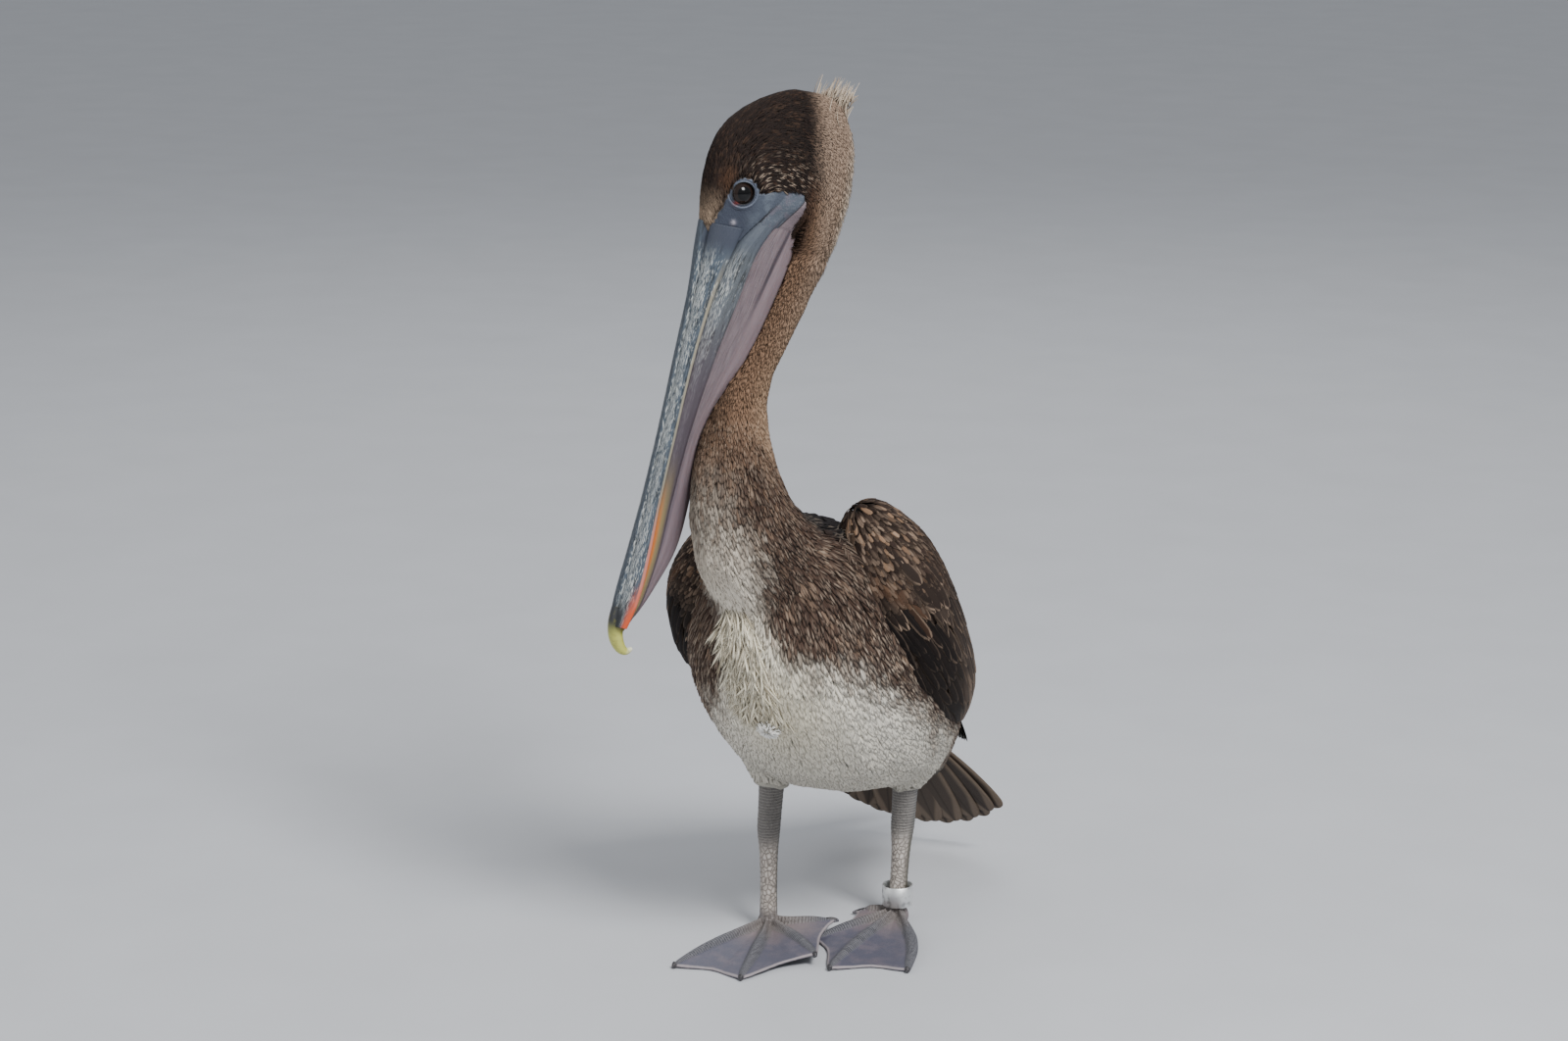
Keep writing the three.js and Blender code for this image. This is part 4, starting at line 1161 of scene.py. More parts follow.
def leg_paint():
    feet = settings("feet")
    paint = Paint("leg_and_foot_skin", Specular_IOR_Level=0.4)
    spot = paint.coordinates()
    height, reach, webby, front, rim = paint.attributes("height", "reach", "web", "front", "rim")
    cells = paint.borders(paint.stretched(spot, (1, 1, 0.8)), 300)
    seams = cells.between(0.0, 0.14)
    blotch = paint.noise(spot, 90, 4)
    fine = paint.noise(spot, 1000, 3)
    rings = (height * 2.6 + blotch * 5).wave() * 0.5 + 0.5
    above = height.between(64, 84)
    scutes = (reach * 3.0).wave() * 0.5 + 0.5
    shank = paint.layers(
        tone(88, 84, 72),
        (feet.shank, front),
        (tone(70, 64, 60), seams.between(1, 0) * (1 - above) * 0.6),
        # Painted highlights on the scale plates at the front of the shank.
        (tone(214, 209, 204), cells.between(0.2, 0.4) * front * (1 - above) * 0.6),
        (tone(80, 79, 78), above * 0.8),
        (tone(166, 161, 154), rings.between(0.8, 1.0) * above * 0.5))
    toes = paint.layers(tone(52, 54, 62),
                        (tone(128, 127, 132), scutes * 0.7 + fine * 0.15),
                        (tone(138, 127, 118), reach.between(46, 10) * 0.5))
    web = paint.layers(
        feet.web,
        (tone(100, 94, 104), blotch.between(0.4, 0.68)),
        (tone(62, 63, 80), fine.between(0.48, 0.7) * 0.5),
        (tone(136, 120, 116), reach.between(50, 14) * 0.6),
        (tone(176, 166, 166), rim))
    colour = paint.layers(toes, (web, webby), (shank, height.between(13, 24)))
    relief = seams * (1 - webby) + fine * 0.4 + scutes * (1 - webby) * height.between(24, 13)
    relief = relief + rings * above * 0.7
    return paint.finish(colour, 0.45 + fine * 0.2, paint.bump(relief, 0.5 * MM, 0.8))


def claw_paint():
    paint = Paint("claw_horn", Specular_IOR_Level=0.5)
    fine = paint.noise(paint.coordinates(), 700, 3)
    colour = paint.mix(tone(40, 38, 42), tone(82, 78, 80), fine.between(0.45, 0.75))
    return paint.finish(colour, 0.4 + fine * 0.15, paint.bump(fine, 0.1 * MM, 0.5))


def band_paint():
    paint = Paint("ring_metal", Metallic=1.0)
    spot = paint.coordinates()
    brushed = paint.noise(paint.stretched(spot, (1, 1, 14)), 260, 4)
    worn = paint.noise(spot, 160, 4)
    colour = paint.mix(tone(236, 237, 236), tone(176, 176, 176), worn.between(0.5, 0.75))
    return paint.finish(colour, 0.38 + brushed * 0.2, paint.bump(brushed + worn, 0.12 * MM, 0.5))


# ---------------------------------------------------------------- feathers
def vane_mesh(name, outline, count):
    """A thin closed vane: half width 1, length 1, crowned along its shaft.

    outline holds (along, half width) stations; the vane runs on to a point.
    """
    across = np.linspace(-1, 1, count)
    crown = 1 - np.abs(across) ** 1.5
    rings = [np.stack([across * half, np.full(count, along), crown], 1) for along, half in outline]
    points = np.vstack(rings + [np.array([[0, 1.0, 0.5]])])
    base, tip = (len(outline) - 1) * count, len(points) - 1
    faces = tube_faces(len(outline), count) + [list(range(count))[::-1]]
    faces += [[base + k, base + (k + 1) % count, tip] for k in range(count)]
    mesh = mesh_of(name, points, faces)
    widths = np.append(np.tile(across, len(outline)), 0.0)
    store(mesh, along=points[:, 1], across=widths, crown=points[:, 2])
    return linked(name, mesh)


# Outline, and the number of points across.
VANES = {
    "plush": ([(0, 0.55), (0.55, 1.0)], 3),
    "breast": ([(0, 0.4), (0.4, 0.95), (0.75, 0.8)], 3),
    "covert": ([(0, 0.35), (0.3, 0.8), (0.6, 1.0), (0.85, 0.86), (0.96, 0.5)], 5),
    "long": ([(0, 0.5), (0.15, 0.8), (0.3, 0.95), (0.45, 1.0), (0.6, 1.0), (0.75, 0.97), (0.88, 0.82),
              (0.96, 0.5)], 5),
}
PATCH = 0.003


def vane_tree():
    """The node tree that sets one vane on each root and lays it along the skin."""
    tree = bpy.data.node_groups.new("lay_vanes", "GeometryNodeTree")
    for name, kind in (("Roots", "Geometry"), ("Vane", "Object"), ("Skin", "Object"),
                       ("Material", "Material"), ("Patch", "Float")):
        tree.interface.new_socket(name, in_out="INPUT", socket_type=f"NodeSocket{kind}")
    tree.interface.new_socket("Coat", in_out="OUTPUT", socket_type="NodeSocketGeometry")
    graph = Graph(tree)
    source = tree.nodes.new("NodeGroupInput")
    roots, vane, skin, material, patch = [Wire(graph, source.outputs[k]) for k in range(5)]

    def attribute(name, kind="FLOAT_VECTOR"):
        return graph.node("GeometryNodeInputNamedAttribute", {"data_type": kind}, {"Name": name})

    def shape_of(thing):
        return graph.node("GeometryNodeObjectInfo", inputs={"Object": thing}, output="Geometry")

    axes = {"primary_axis": "Z", "secondary_axis": "Y"}
    turned = graph.node("FunctionNodeAxesToRotation", axes, {0: attribute("up"), 1: attribute("lie")})
    vane_shape, skin_shape = shape_of(vane), shape_of(skin)
    sown = graph.node("GeometryNodeInstanceOnPoints", inputs={
        "Points": roots, "Instance": vane_shape, "Rotation": turned, "Scale": attribute("size")})
    vanes = graph.node("GeometryNodeRealizeInstances", inputs={"Geometry": sown})
    spot = graph.node("GeometryNodeInputPosition")
    near = graph.node("GeometryNodeProximity", inputs={"Geometry": skin_shape, "Sample Position": spot})
    gap = Wire(graph, near.socket.node.outputs["Distance"])
    out = graph.node("GeometryNodeSampleNearestSurface", {"data_type": "FLOAT_VECTOR"}, {
        "Mesh": skin_shape, "Value": graph.node("GeometryNodeInputNormal"), "Sample Position": spot})
    base, rise, loose = graph.split(attribute("lift"))
    thickness = graph.split(attribute("size"))[2]
    along, crown = attribute("along", "FLOAT"), attribute("crown", "FLOAT")
    height = base + rise * along + thickness * crown + loose * gap
    offset = graph.node("ShaderNodeVectorMath", {"operation": "SCALE"}, {0: out, "Scale": height})
    raised = graph.node("ShaderNodeVectorMath", {"operation": "ADD"}, {0: near, 1: offset})
    laid = graph.node("GeometryNodeSetPosition", inputs={"Geometry": vanes, "Position": raised})
    u, v = graph.split(attribute("unwrap"))[:2]
    uv = graph.vector(u + patch * 0.5 * attribute("across", "FLOAT"), v + patch * (along - 0.5))
    mapped = graph.node("GeometryNodeStoreNamedAttribute", {"data_type": "FLOAT2", "domain": "CORNER"}, {
        "Geometry": laid, "Name": "OFBake", "Value": uv})
    smoothed = graph.node("GeometryNodeSetShadeSmooth", inputs={"Geometry": mapped})
    dressed = graph.node("GeometryNodeSetMaterial", inputs={"Geometry": smoothed, "Material": material})
    end = tree.nodes.new("NodeGroupOutput")
    tree.links.new(dressed.socket, end.inputs[0])
    return tree


def lay_vanes(name, roots, vane, skin, material, nodes):
    """Makes one coat piece from roots: a dictionary of arrays, one row for each feather."""
    mesh = bpy.data.meshes.new(f"{name}_roots")
    mesh.from_pydata(roots["point"].tolist(), [], [])
    store(mesh, **{key: values for key, values in roots.items() if key != "point"})
    source = linked(f"{name}_roots", mesh)
    modifier = source.modifiers.new("Vanes", "NODES")
    modifier.node_group = bpy.data.node_groups.get("lay_vanes") or vane_tree()
    names = {item.name: item.identifier for item in modifier.node_group.interface.items_tree
             if item.in_out == "INPUT"}
    for key, value in (("Vane", vane), ("Skin", skin), ("Material", material), ("Patch", PATCH)):
        modifier[names[key]] = value
    coat = finished_mesh(source, name)
    for key in ("up", "lie", "size", "lift", "unwrap", "crown"):
        if key in coat.attributes:
            coat.attributes.remove(coat.attributes[key])
    return piece(name, coat, nodes)


def sow(mesh, spacing, wanted, seed):
    """Evenly scattered roots on a mesh: points and normals, with no two nearer than the spacing."""
    chance = np.random.default_rng(seed)
    mesh.calc_loop_triangles()
    corners = np.empty(len(mesh.loop_triangles) * 3, np.int32)
    mesh.loop_triangles.foreach_get("vertices", corners)
    corners = corners.reshape(-1, 3)
    points, normals = points_of(mesh), normals_of(mesh)
    middles = points[corners].mean(1)
    steps = np.broadcast_to(spacing(middles), len(middles)) * MM
    chosen = wanted(middles)
    edges = points[corners[:, 1:]] - points[corners[:, :1]]
    area = np.linalg.norm(np.cross(edges[:, 0], edges[:, 1]), axis=1) / 2
    number = chance.poisson(np.where(chosen, 3.2 * area / steps**2, 0))
    at = np.repeat(np.arange(len(corners)), number)
    weights = chance.dirichlet((1, 1, 1), len(at))
    spots = np.einsum("nk,nkd->nd", weights, points[corners[at]])
    ways = unit(np.einsum("nk,nkd->nd", weights, normals[corners[at]]))
    reach = steps[at]
    tree = tree_of(spots)
    free = np.ones(len(spots), bool)
    kept = []
    for k in range(len(spots)):
        if free[k]:
            kept.append(k)
            for found in tree.find_range(spots[k], reach[k] * 0.8):
                free[found[1]] = False
    return spots[kept], ways[kept]


def combed(ways, ups, spread, seed):
    """The ways laid flat on the surface, each turned a little by chance; spread is in degrees."""
    chance = np.random.default_rng(seed)
    flat = unit(ways - ups * np.sum(ways * ups, axis=1, keepdims=True))
    turn = np.radians(chance.normal(0, spread, len(flat)))[:, None]
    return flat * np.cos(turn) + np.cross(ups, flat) * np.sin(turn)


def head_lie(points):
    """Head feathers run up the forehead, back over the crown and down the nape."""
    side, s, n = head_coordinates(points)
    s, n = s + 52, n + 58
    inner = 1 - np.clip(np.hypot(s, n) / 52, 0, 1)
    flow_s, flow_n = -n / 52 + 0.45 * inner, s / 52 - 1.1 * inner
    return flow_s[:, None] * BILL_WAY + flow_n[:, None] * RIDGE_WAY


def neck_lie(points):
    along = neck_place(points)[0]
    return unit(rows_at(NECK, along - 0.03)[:, :3] - rows_at(NECK, along + 0.03)[:, :3])


def body_lie(points):
    x, q, p = body_coordinates(points)
    front = 1 - smooth(q, -60, 30)
    return TAILWARD + front[:, None] * (-UP * 1.2) + np.outer(0.25 * np.sign(x) * front, LEFT)


def wing_lie(points):
    """Down from the bend of the wing, then back along it."""
    x, q, p = body_coordinates(points)
    front = (1 - smooth(q, -45, 25))[:, None]
    down = TAILWARD * 0.6 - UP * 0.6 + np.outer(0.65 * np.sign(x), LEFT)
    return TAILWARD * (1 - front) + down * front


def plumage_lie(points):
    head, neck = region_shares(points)
    ways = mixed(unit(body_lie(points)), neck_lie(points), neck)
    return mixed(ways, unit(head_lie(points)), head)


def unwrapped(points):
    """An unwrap of the skin's own shape: the turn round the body and the way along it."""
    head, neck = region_shares(points)
    x, q, p = body_coordinates(points)
    side, s, n = head_coordinates(points)
    out = from_neck(points)

    def chart(across, ahead, along):
        return np.stack([np.arctan2(across, ahead) / 6.4 + 0.5, along], 1)

    body_uv = chart(x, -(p + 10), (q + 90) / 500)
    neck_uv = chart(out @ LEFT, out @ HEADING, neck_place(points)[0])
    head_uv = chart(side, n + 55, (s + 125) / 160)
    uv = np.where((neck > 0.5)[:, None], neck_uv, body_uv)
    uv = np.where((head > 0.5)[:, None], head_uv, uv)
    return np.column_stack([np.clip(uv, 0.01, 0.99), np.zeros(len(points))])


def roots_for(points, ups, length, width, seed, thickness=0.5, spread=9, fleck=0, edge=0,
              base=None, rise=None, lie=plumage_lie, ground=plumage_colour):
    """One row for each feather. Lengths are in millimetres, as numbers or arrays."""
    chance = np.random.default_rng(seed + 1)
    count = len(points)

    def column(value):
        return np.broadcast_to(np.asarray(value, float), count)

    grown = 1 + 0.14 * chance.standard_normal(count).clip(-2, 2)
    depth = coat_depth(points)
    base = 0.3 * depth if base is None else base
    rise = 0.55 * depth if rise is None else rise
    size = MM * np.stack([column(width) / 2 * grown, column(length) * grown, column(thickness)], 1)
    lift = np.stack([MM * column(base), MM * column(rise) * chance.uniform(0.6, 1.15, count),
                     np.zeros(count)], 1)
    even = 0.65 * pale_share(points)
    marks = np.stack([column(fleck) * chance.random(count) ** 2,
                      column(edge) * chance.uniform(0.6, 1, count),
                      0.5 + (chance.random(count) - 0.5) * (1 - even)], 1)
    ways = combed(lie(points), ups, spread, seed)
    shown = points + ways * size[:, 1:2] * 0.65
    return {"point": points, "up": ups, "lie": ways, "size": size, "lift": lift, "marks": marks,
            "ground": ground(shown), "unwrap": unwrapped(points)}


# Length, width and spacing of the small feathers, on the neck by the share of the way up it.
BODY_FEATHERS = (17, 3.4, 2.45)
NECK_FEATHERS = [(-0.1, 16, 3.4, 2.4), (0.1, 15, 3.2, 2.3), (0.3, 12, 2.9, 2.1), (0.45, 9, 1.9, 1.5),
                 (0.6, 7, 1.3, 1.08), (1, 6.5, 1.25, 1.03)]
HEAD_FEATHERS = (6.2, 1.25, 1.02)


def feather_size(points):
    """Length, width and spacing of the small feathers, growing from the head to the belly."""
    head, neck = region_shares(points)
    on_neck = np.stack(columns_at(NECK_FEATHERS, neck_place(points)[0]), 1)
    return layered(BODY_FEATHERS, (on_neck, neck), (HEAD_FEATHERS, head)).T


def near_wing(points, reach):
    """Whether points lie in or under a folded wing."""
    x, q, p = body_coordinates(points)
    steps = np.linspace(0, 1, WING_STEPS)
    rows = rows_at(WING, steps)
    shown = np.minimum(steps * (len(WING) - 1) / (WING_SOLID_ROWS - 1), 1)
    middle_p, middle_x, high, thick, lean = columns_at(rows, q)
    high, thick, lean = np.maximum(high + reach, 0.1), np.maximum(thick + reach, 0.1), np.radians(lean)
    hidden = np.zeros(len(points), bool)
    for sign in SIDES:
        sag = np.interp(q, rows[:, 0], WING_SAG[sign] * (1 - shown))
        dx, dp = sign * x - middle_x, p - (middle_p - sag)
        out = dx * np.cos(lean) + dp * np.sin(lean)
        up = -dx * np.sin(lean) + dp * np.cos(lean)
        size = (np.abs(out) / thick) ** WING_ROUNDNESS + (np.abs(up) / high) ** WING_ROUNDNESS
        hidden |= (size < 1) & (q > -70) & (q < 300)
    return hidden


BREAST_END = 55  # along the trunk, where the belly's coat takes over from the breast's
BACK_HEIGHT = 30  # over the trunk's middle line, where the back's coat starts


def in_head(points):
    return region_shares(points)[0] > 0.5


def in_neck(points):
    head, neck = region_shares(points)
    return (head <= 0.5) & (neck > 0.5)


def upper_neck(points):
    return neck_place(points)[0] > 0.47


def on_bill_base(points):
    """Where the bill and pouch come out of the face and neck."""
    side, s, n = head_coordinates(points)
    return (np.abs(side) < 19) & (s > -4) & (s < 30) & (n > -76)


def on_mesh(mesh, spots):
    """The nearest points of a mesh to the spots, with the normals there."""
    corners = [face.vertices for face in mesh.polygons]
    tree = BVHTree.FromPolygons([vert.co for vert in mesh.vertices], corners)
    found = [tree.find_nearest(Vector(spot)) for spot in spots]
    return np.array([hit[0] for hit in found]), np.array([hit[1] for hit in found])


def small_coverts(core, sign, seed):
    """Roots of the short mottled feathers at the front and top of the wing."""
    def wanted(points):
        return (sign * body_coordinates(points)[0] > 8) & (wing_zones(points)[0] > 0.35)

    spots, ups = sow(core, lambda points: 2.7, wanted, seed)
    q = body_coordinates(spots)[1]
    fleck = 0.8 - 0.55 * smooth(q, -52, -30)
    return roots_for(spots, ups, 12 + 5 * smooth(q, -50, 10), 4.2, seed, spread=8, fleck=fleck, edge=0.2,
                     base=1.5, rise=0.9, lie=wing_lie, ground=wing_colour)


WING_LANES = 45
WING_ROWS = [(-34, 44, 7), (-14, 50, 7.2), (10, 62, 7.5), (38, 74, 7.6), (70, 80, 7.6), (104, 84, 7.4),
             (140, 84, 7), (178, 80, 6.6), (212, 74, 6), (244, 66, 5)]


def wing_spot(sign, q, turn):
    """A point of the folded wing's surface at a place along it and a turn round it."""
    p, x, height, thickness, lean = columns_at(WING, q)
    sag = WING_SAG[sign] * (1 - min(max((q + 66) / 330, 0), 1))
    out, up = wing_ways(sign, lean)
    reach = [math.copysign(abs(part) ** 0.9, part) for part in (math.cos(turn), math.sin(turn))]
    return body_point(sign * x, q, p - sag) + MM * (out * thickness * reach[0] + up * height * reach[1])


def long_rows(core, sign, seed):
    """Roots of the long narrow feathers, in rows along the wing and lanes round it."""
    chance = np.random.default_rng(seed)
    rows = []
    for row, (q, length, width) in enumerate(WING_ROWS):
        for lane in np.linspace(-132, 118, WING_LANES) + 3.6 * (row % 2):
            at = max(q + chance.normal(0, 10), -48)
            rows.append((*wing_spot(sign, at, math.radians(lane)), length * chance.uniform(0.9, 1.08),
                         width, 1.35 - 0.1 * row + chance.uniform(0, 0.25)))
    tips = len(rows)
    if sign > 0:
        rows += [(*(body_point(*tip) - TAILWARD * 26 * MM + UP * 14 * MM), 34, 10, 2.0)
                 for tip in ROUND_TIPS]
    rows = np.array(rows)
    spots, ups = on_mesh(core, rows[:, :3])
    length, width, base = rows[:, 3:].T
    roots = roots_for(spots, ups, length, width, seed, spread=1.6, fleck=1, edge=1, base=base, rise=0.7,
                      lie=wing_lie, ground=wing_colour)
    low = wing_zones(spots)[3]
    roots["marks"][:, 1] *= (1 - 0.8 * low) * chance.uniform(0.6, 1, len(low))
    roots["marks"][:, 0] *= (1 - low) * smooth(body_coordinates(spots)[1], 0, 40)
    roots["ground"][tips:] = tone(42, 34, 30)
    return roots


# ---------------------------------------------------------------- long feathers
def quill(root, end, face, half_width, thickness, bow=0.0, lines=(22, 9), tip=12):
    """One long feather as points, faces and its along and across numbers."""
    steps, count = lines
    way = end - root
    length = np.linalg.norm(way)
    way = way / length
    side = unit(np.cross(way, face))
    up = np.cross(side, way)
    t = 1 - (1 - np.linspace(0, 1, steps)) ** 1.7
    half = half_width * (0.72 + 0.28 * np.sin(math.pi * t)) * np.sqrt(np.maximum(1 - t**tip, 0.03))
    across = np.linspace(-1, 1, count)
    thick = thickness * (1 - 0.6 * t)
    crown = (1 - np.abs(across) ** 1.6)[None] * thick[:, None]
    shaft = hump(across, 0, 0.1)[None] * (0.5 * (1 - t))[:, None]
    lift = bow * np.sin(math.pi * t)
    rings = []
    for k in range(steps):
        middle = root + way * length * t[k] + MM * lift[k] * up
        top = middle + MM * (np.outer(across * half[k], side) + np.outer(crown[k] + shaft[k], up))
        low = middle + MM * (np.outer(across[::-1] * half[k], side) - np.outer(crown[k] * 0.4, up))
        rings.append(np.vstack([top, low[1:-1]]))
    around = len(rings[0])
    points, faces = loft(rings)
    marks = np.concatenate([across, across[::-1][1:-1]])
    return (points, faces, np.append(np.repeat(t, around), [0, 1]),
            np.append(np.tile(marks, steps), [0, 0]))


def joined_quills(name, quills, grounds, seed, edge):
    """Many quills as one mesh, each with its own patch of the unwrap at its root's place."""
    chance = np.random.default_rng(seed)
    counts = [len(made[0]) for made in quills]
    mesh = mesh_of(name, *joined([made[:2] for made in quills]))
    along, across = (np.concatenate([made[k] for made in quills]) for k in (2, 3))
    marks = np.repeat([[0, edge, chance.random()] for made in quills], counts, axis=0)
    ground = np.repeat([list(colour) for colour in grounds], counts, axis=0)
    store(mesh, along=along, across=across, ground=ground, marks=marks)
    roots = unwrapped(np.array([made[0][-2] for made in quills]))[:, :2]
    unwrap = np.repeat(roots, counts, axis=0) + PATCH * np.stack([across / 2, along - 0.5], 1)
    corners = np.empty(len(mesh.loops), np.int32)
    mesh.loops.foreach_get("vertex_index", corners)
    mesh.uv_layers.new(name="OFBake").uv.foreach_set("vector", unwrap[corners].astype(np.float32).ravel())
    return mesh


def tail_mesh():
    """The tail fan: a row of broad feathers with a second row between and under them."""
    quills, grounds = [], []
    steps = [((2 * k + layer) / (TAIL_FEATHERS - 1) - 1, layer)
             for layer in (0, 1) for k in range(TAIL_FEATHERS - layer)]
    for share, layer in steps:
        turn, drop = share * TAIL_SPREAD / 2, TAIL_DROP - TAIL_DISH * share * share
        way = np.array([sine(turn), cosine(turn) * cosine(drop), -cosine(turn) * sine(drop)])
        root = np.array(TAIL_ROOT) + LEFT * share * 14
        length = TAIL_LENGTH * (1 - TAIL_TAPER * share * share) * (1 - 0.03 * layer)
        face = np.array([0, sine(drop), cosine(drop)])
        shift = face * (1.6 * (1 - abs(share)) - 1.5 * layer)
        quills.append(quill(place(root + shift), place(root + shift + way * length), face,
                            half_width=TAIL_BLADE, thickness=0.9, bow=1.5, tip=22))
        grounds.append(mixed(tone(84, 74, 66), tone(62, 54, 49), abs(share)))
    return joined_quills("tail_feathers", quills, grounds, seed=31, edge=0.4)


def primaries_mesh(sign):
    """The bundle of longest wing feathers, one lying over the next."""
    quills = []
    for share in np.arange(PRIMARIES) / (PRIMARIES - 1):
        root = body_point(sign * (46 + 2 * share), 150, 30 - 17 * share)
        tip = body_point(sign * (15 + 15 * share), 382 - 84 * share, 69 - 33 * share)
        face = LEFT * sign + BACKWARD * 0.7
        quills.append(quill(root, tip, face, half_width=13, thickness=1, bow=5))
    grounds = [settings("plumage").flight] * PRIMARIES
    return joined_quills(f"primary_feathers_{SIDES[sign]}", quills, grounds, seed=41, edge=0.25)


# ---------------------------------------------------------------- bill
def ends(values, around):
    """Values for a loft's rings, with one for each of its two end points."""
    return np.append(np.repeat(values, around), [values[0], values[-1]])


def bill_part(name, rings, along, height, turn):
    """A loft of the bill, with the measures that its paint reads."""
    mesh = mesh_of(name, *loft(rings))
    steps = len(rings)
    store(mesh, along=ends(along, len(height)), height=np.append(np.tile(height, steps), [0.5, 0.5]),
          turn=np.append(np.tile(turn, steps), [0, 0]))
    return mesh


def upper_bill_mesh():
    fine = 4
    right = [(-across, height) for across, height in BILL_SECTION[-2:0:-1]]
    outline = np.array(BILL_SECTION + right)
    count = len(outline)
    t = np.arange(count * fine) / fine
    start = t.astype(int)
    share = (t - start)[:, None]
    line = curve(*(outline[(start + k) % count] for k in (-1, 0, 1, 2)), share)
    across, height = line.T
    rows = rows_at(BILL_UPPER, np.linspace(0, 1, 130))
    rings = [head_point(across * half, np.full(len(line), s), edge + (ridge - edge) * height)
             for s, ridge, edge, half in rows]
    return bill_part("upper_bill", rings, rows[:, 0], height, across)


def oval_bill_mesh(name, table, widths, steps, around, roundness, folds=0):
    """A loft of the lower bill or the pouch; widths gives its half width from a row and a height."""
    rows = rows_at(table, np.linspace(0, 1, steps))
    turn, across, rise = oval(around, roundness)
    rings = []
    for row in rows:
        half = widths(row, (rise + 1) / 2)
        fold = folds * np.sin(turn * 9 + 2.2 * np.sin(row[0] / 31)) * np.sin(turn * 4 + row[0] / 55)
        n = (row[1] + row[2]) / 2 + (row[1] - row[2]) / 2 * rise
        rings.append(head_point(across * (half + fold), np.full(around, row[0]), n))
    return bill_part(name, rings, rows[:, 0], (rise + 1) / 2, turn / math.pi - 1)


def nail_mesh():
    steps, around = 40, 24
    t = np.linspace(0, 1, steps)
    rows = rows_at(NAIL, t)
    middles = head_point(np.zeros(steps), rows[:, 0], rows[:, 1])
    ways = unit(np.gradient(middles, axis=0))
    rings = [oval_ring(middle, HEAD_SIDE, np.cross(HEAD_SIDE, way), row[3], row[2], around)
             for middle, way, row in zip(middles, ways, rows)]
    mesh = mesh_of("nail", *loft(rings))
    store(mesh, along=ends(t, around))
    return mesh


def eye_mesh(sign):
    """An eyeball; reach is 0 at the middle of the pupil and 1 at the edge of what shows."""
    steps, around = 24, 40
    middle = head_point(sign * EYE[0], EYE[1], EYE[2])
    rings, reach = [], []
    for k in range(1, steps):
        turn = math.pi * k / steps
        centre = middle + MM * EYE_RADIUS * math.cos(turn) * sign * HEAD_SIDE
        radius = EYE_RADIUS * math.sin(turn)
        rings.append(oval_ring(centre, BILL_WAY, RIDGE_WAY, radius, radius, around))
        reach.append(radius / OPENING if turn < math.pi / 2 else 2)
    points, faces = loft(rings)
    points[-2] = middle + MM * EYE_RADIUS * sign * HEAD_SIDE
    points[-1] = middle - MM * EYE_RADIUS * sign * HEAD_SIDE
    mesh = mesh_of(f"eyeball_{SIDES[sign]}", points, faces)
    store(mesh, reach=np.append(np.repeat(reach, around), [0, 2]))
    return mesh


# ---------------------------------------------------------------- legs and feet
def ball_of(side):
    """The middle of the ball of the foot."""
    return np.array([*LEGS[side]["ankle"], BALL_HEIGHT], float)


def claw_start(side, toe):
    """The share of the toe at which its claw starts."""
    return 1 - CLAW_LENGTH / np.linalg.norm(np.array(TOES[side][toe][:3], float) - ball_of(side))


def foot_ahead(side):
    """The level way from the ankle along the middle toe."""
    return unit(np.array([*TOES[side][1][:2], 0]) - np.array([*LEGS[side]["ankle"], 0]))


def toe_line(side, toe, share):
    """The middle of a toe at each share, in millimetres, with its radius and the way across it."""
    ball = ball_of(side)
    *tip, bow = TOES[side][toe]
    bow_way = unit(np.cross(UP, tip - ball))
    knots = [(0, 0), (0.3, 0.9), (0.62, 0.7), (claw_start(side, toe), 0.7), (1, 1.6)]
    line = [ball + (tip - ball) * k + bow_way * bow * math.sin(math.pi * k) - UP * drop
            for k, drop in knots]
    spots = rows_at(line, share)
    ways = rows_at(line, np.asarray(share) + 0.01) - rows_at(line, np.asarray(share) - 0.01)
    return spots, rows_at(TOE_RADII, share)[:, 0], unit(np.cross(UP, ways))


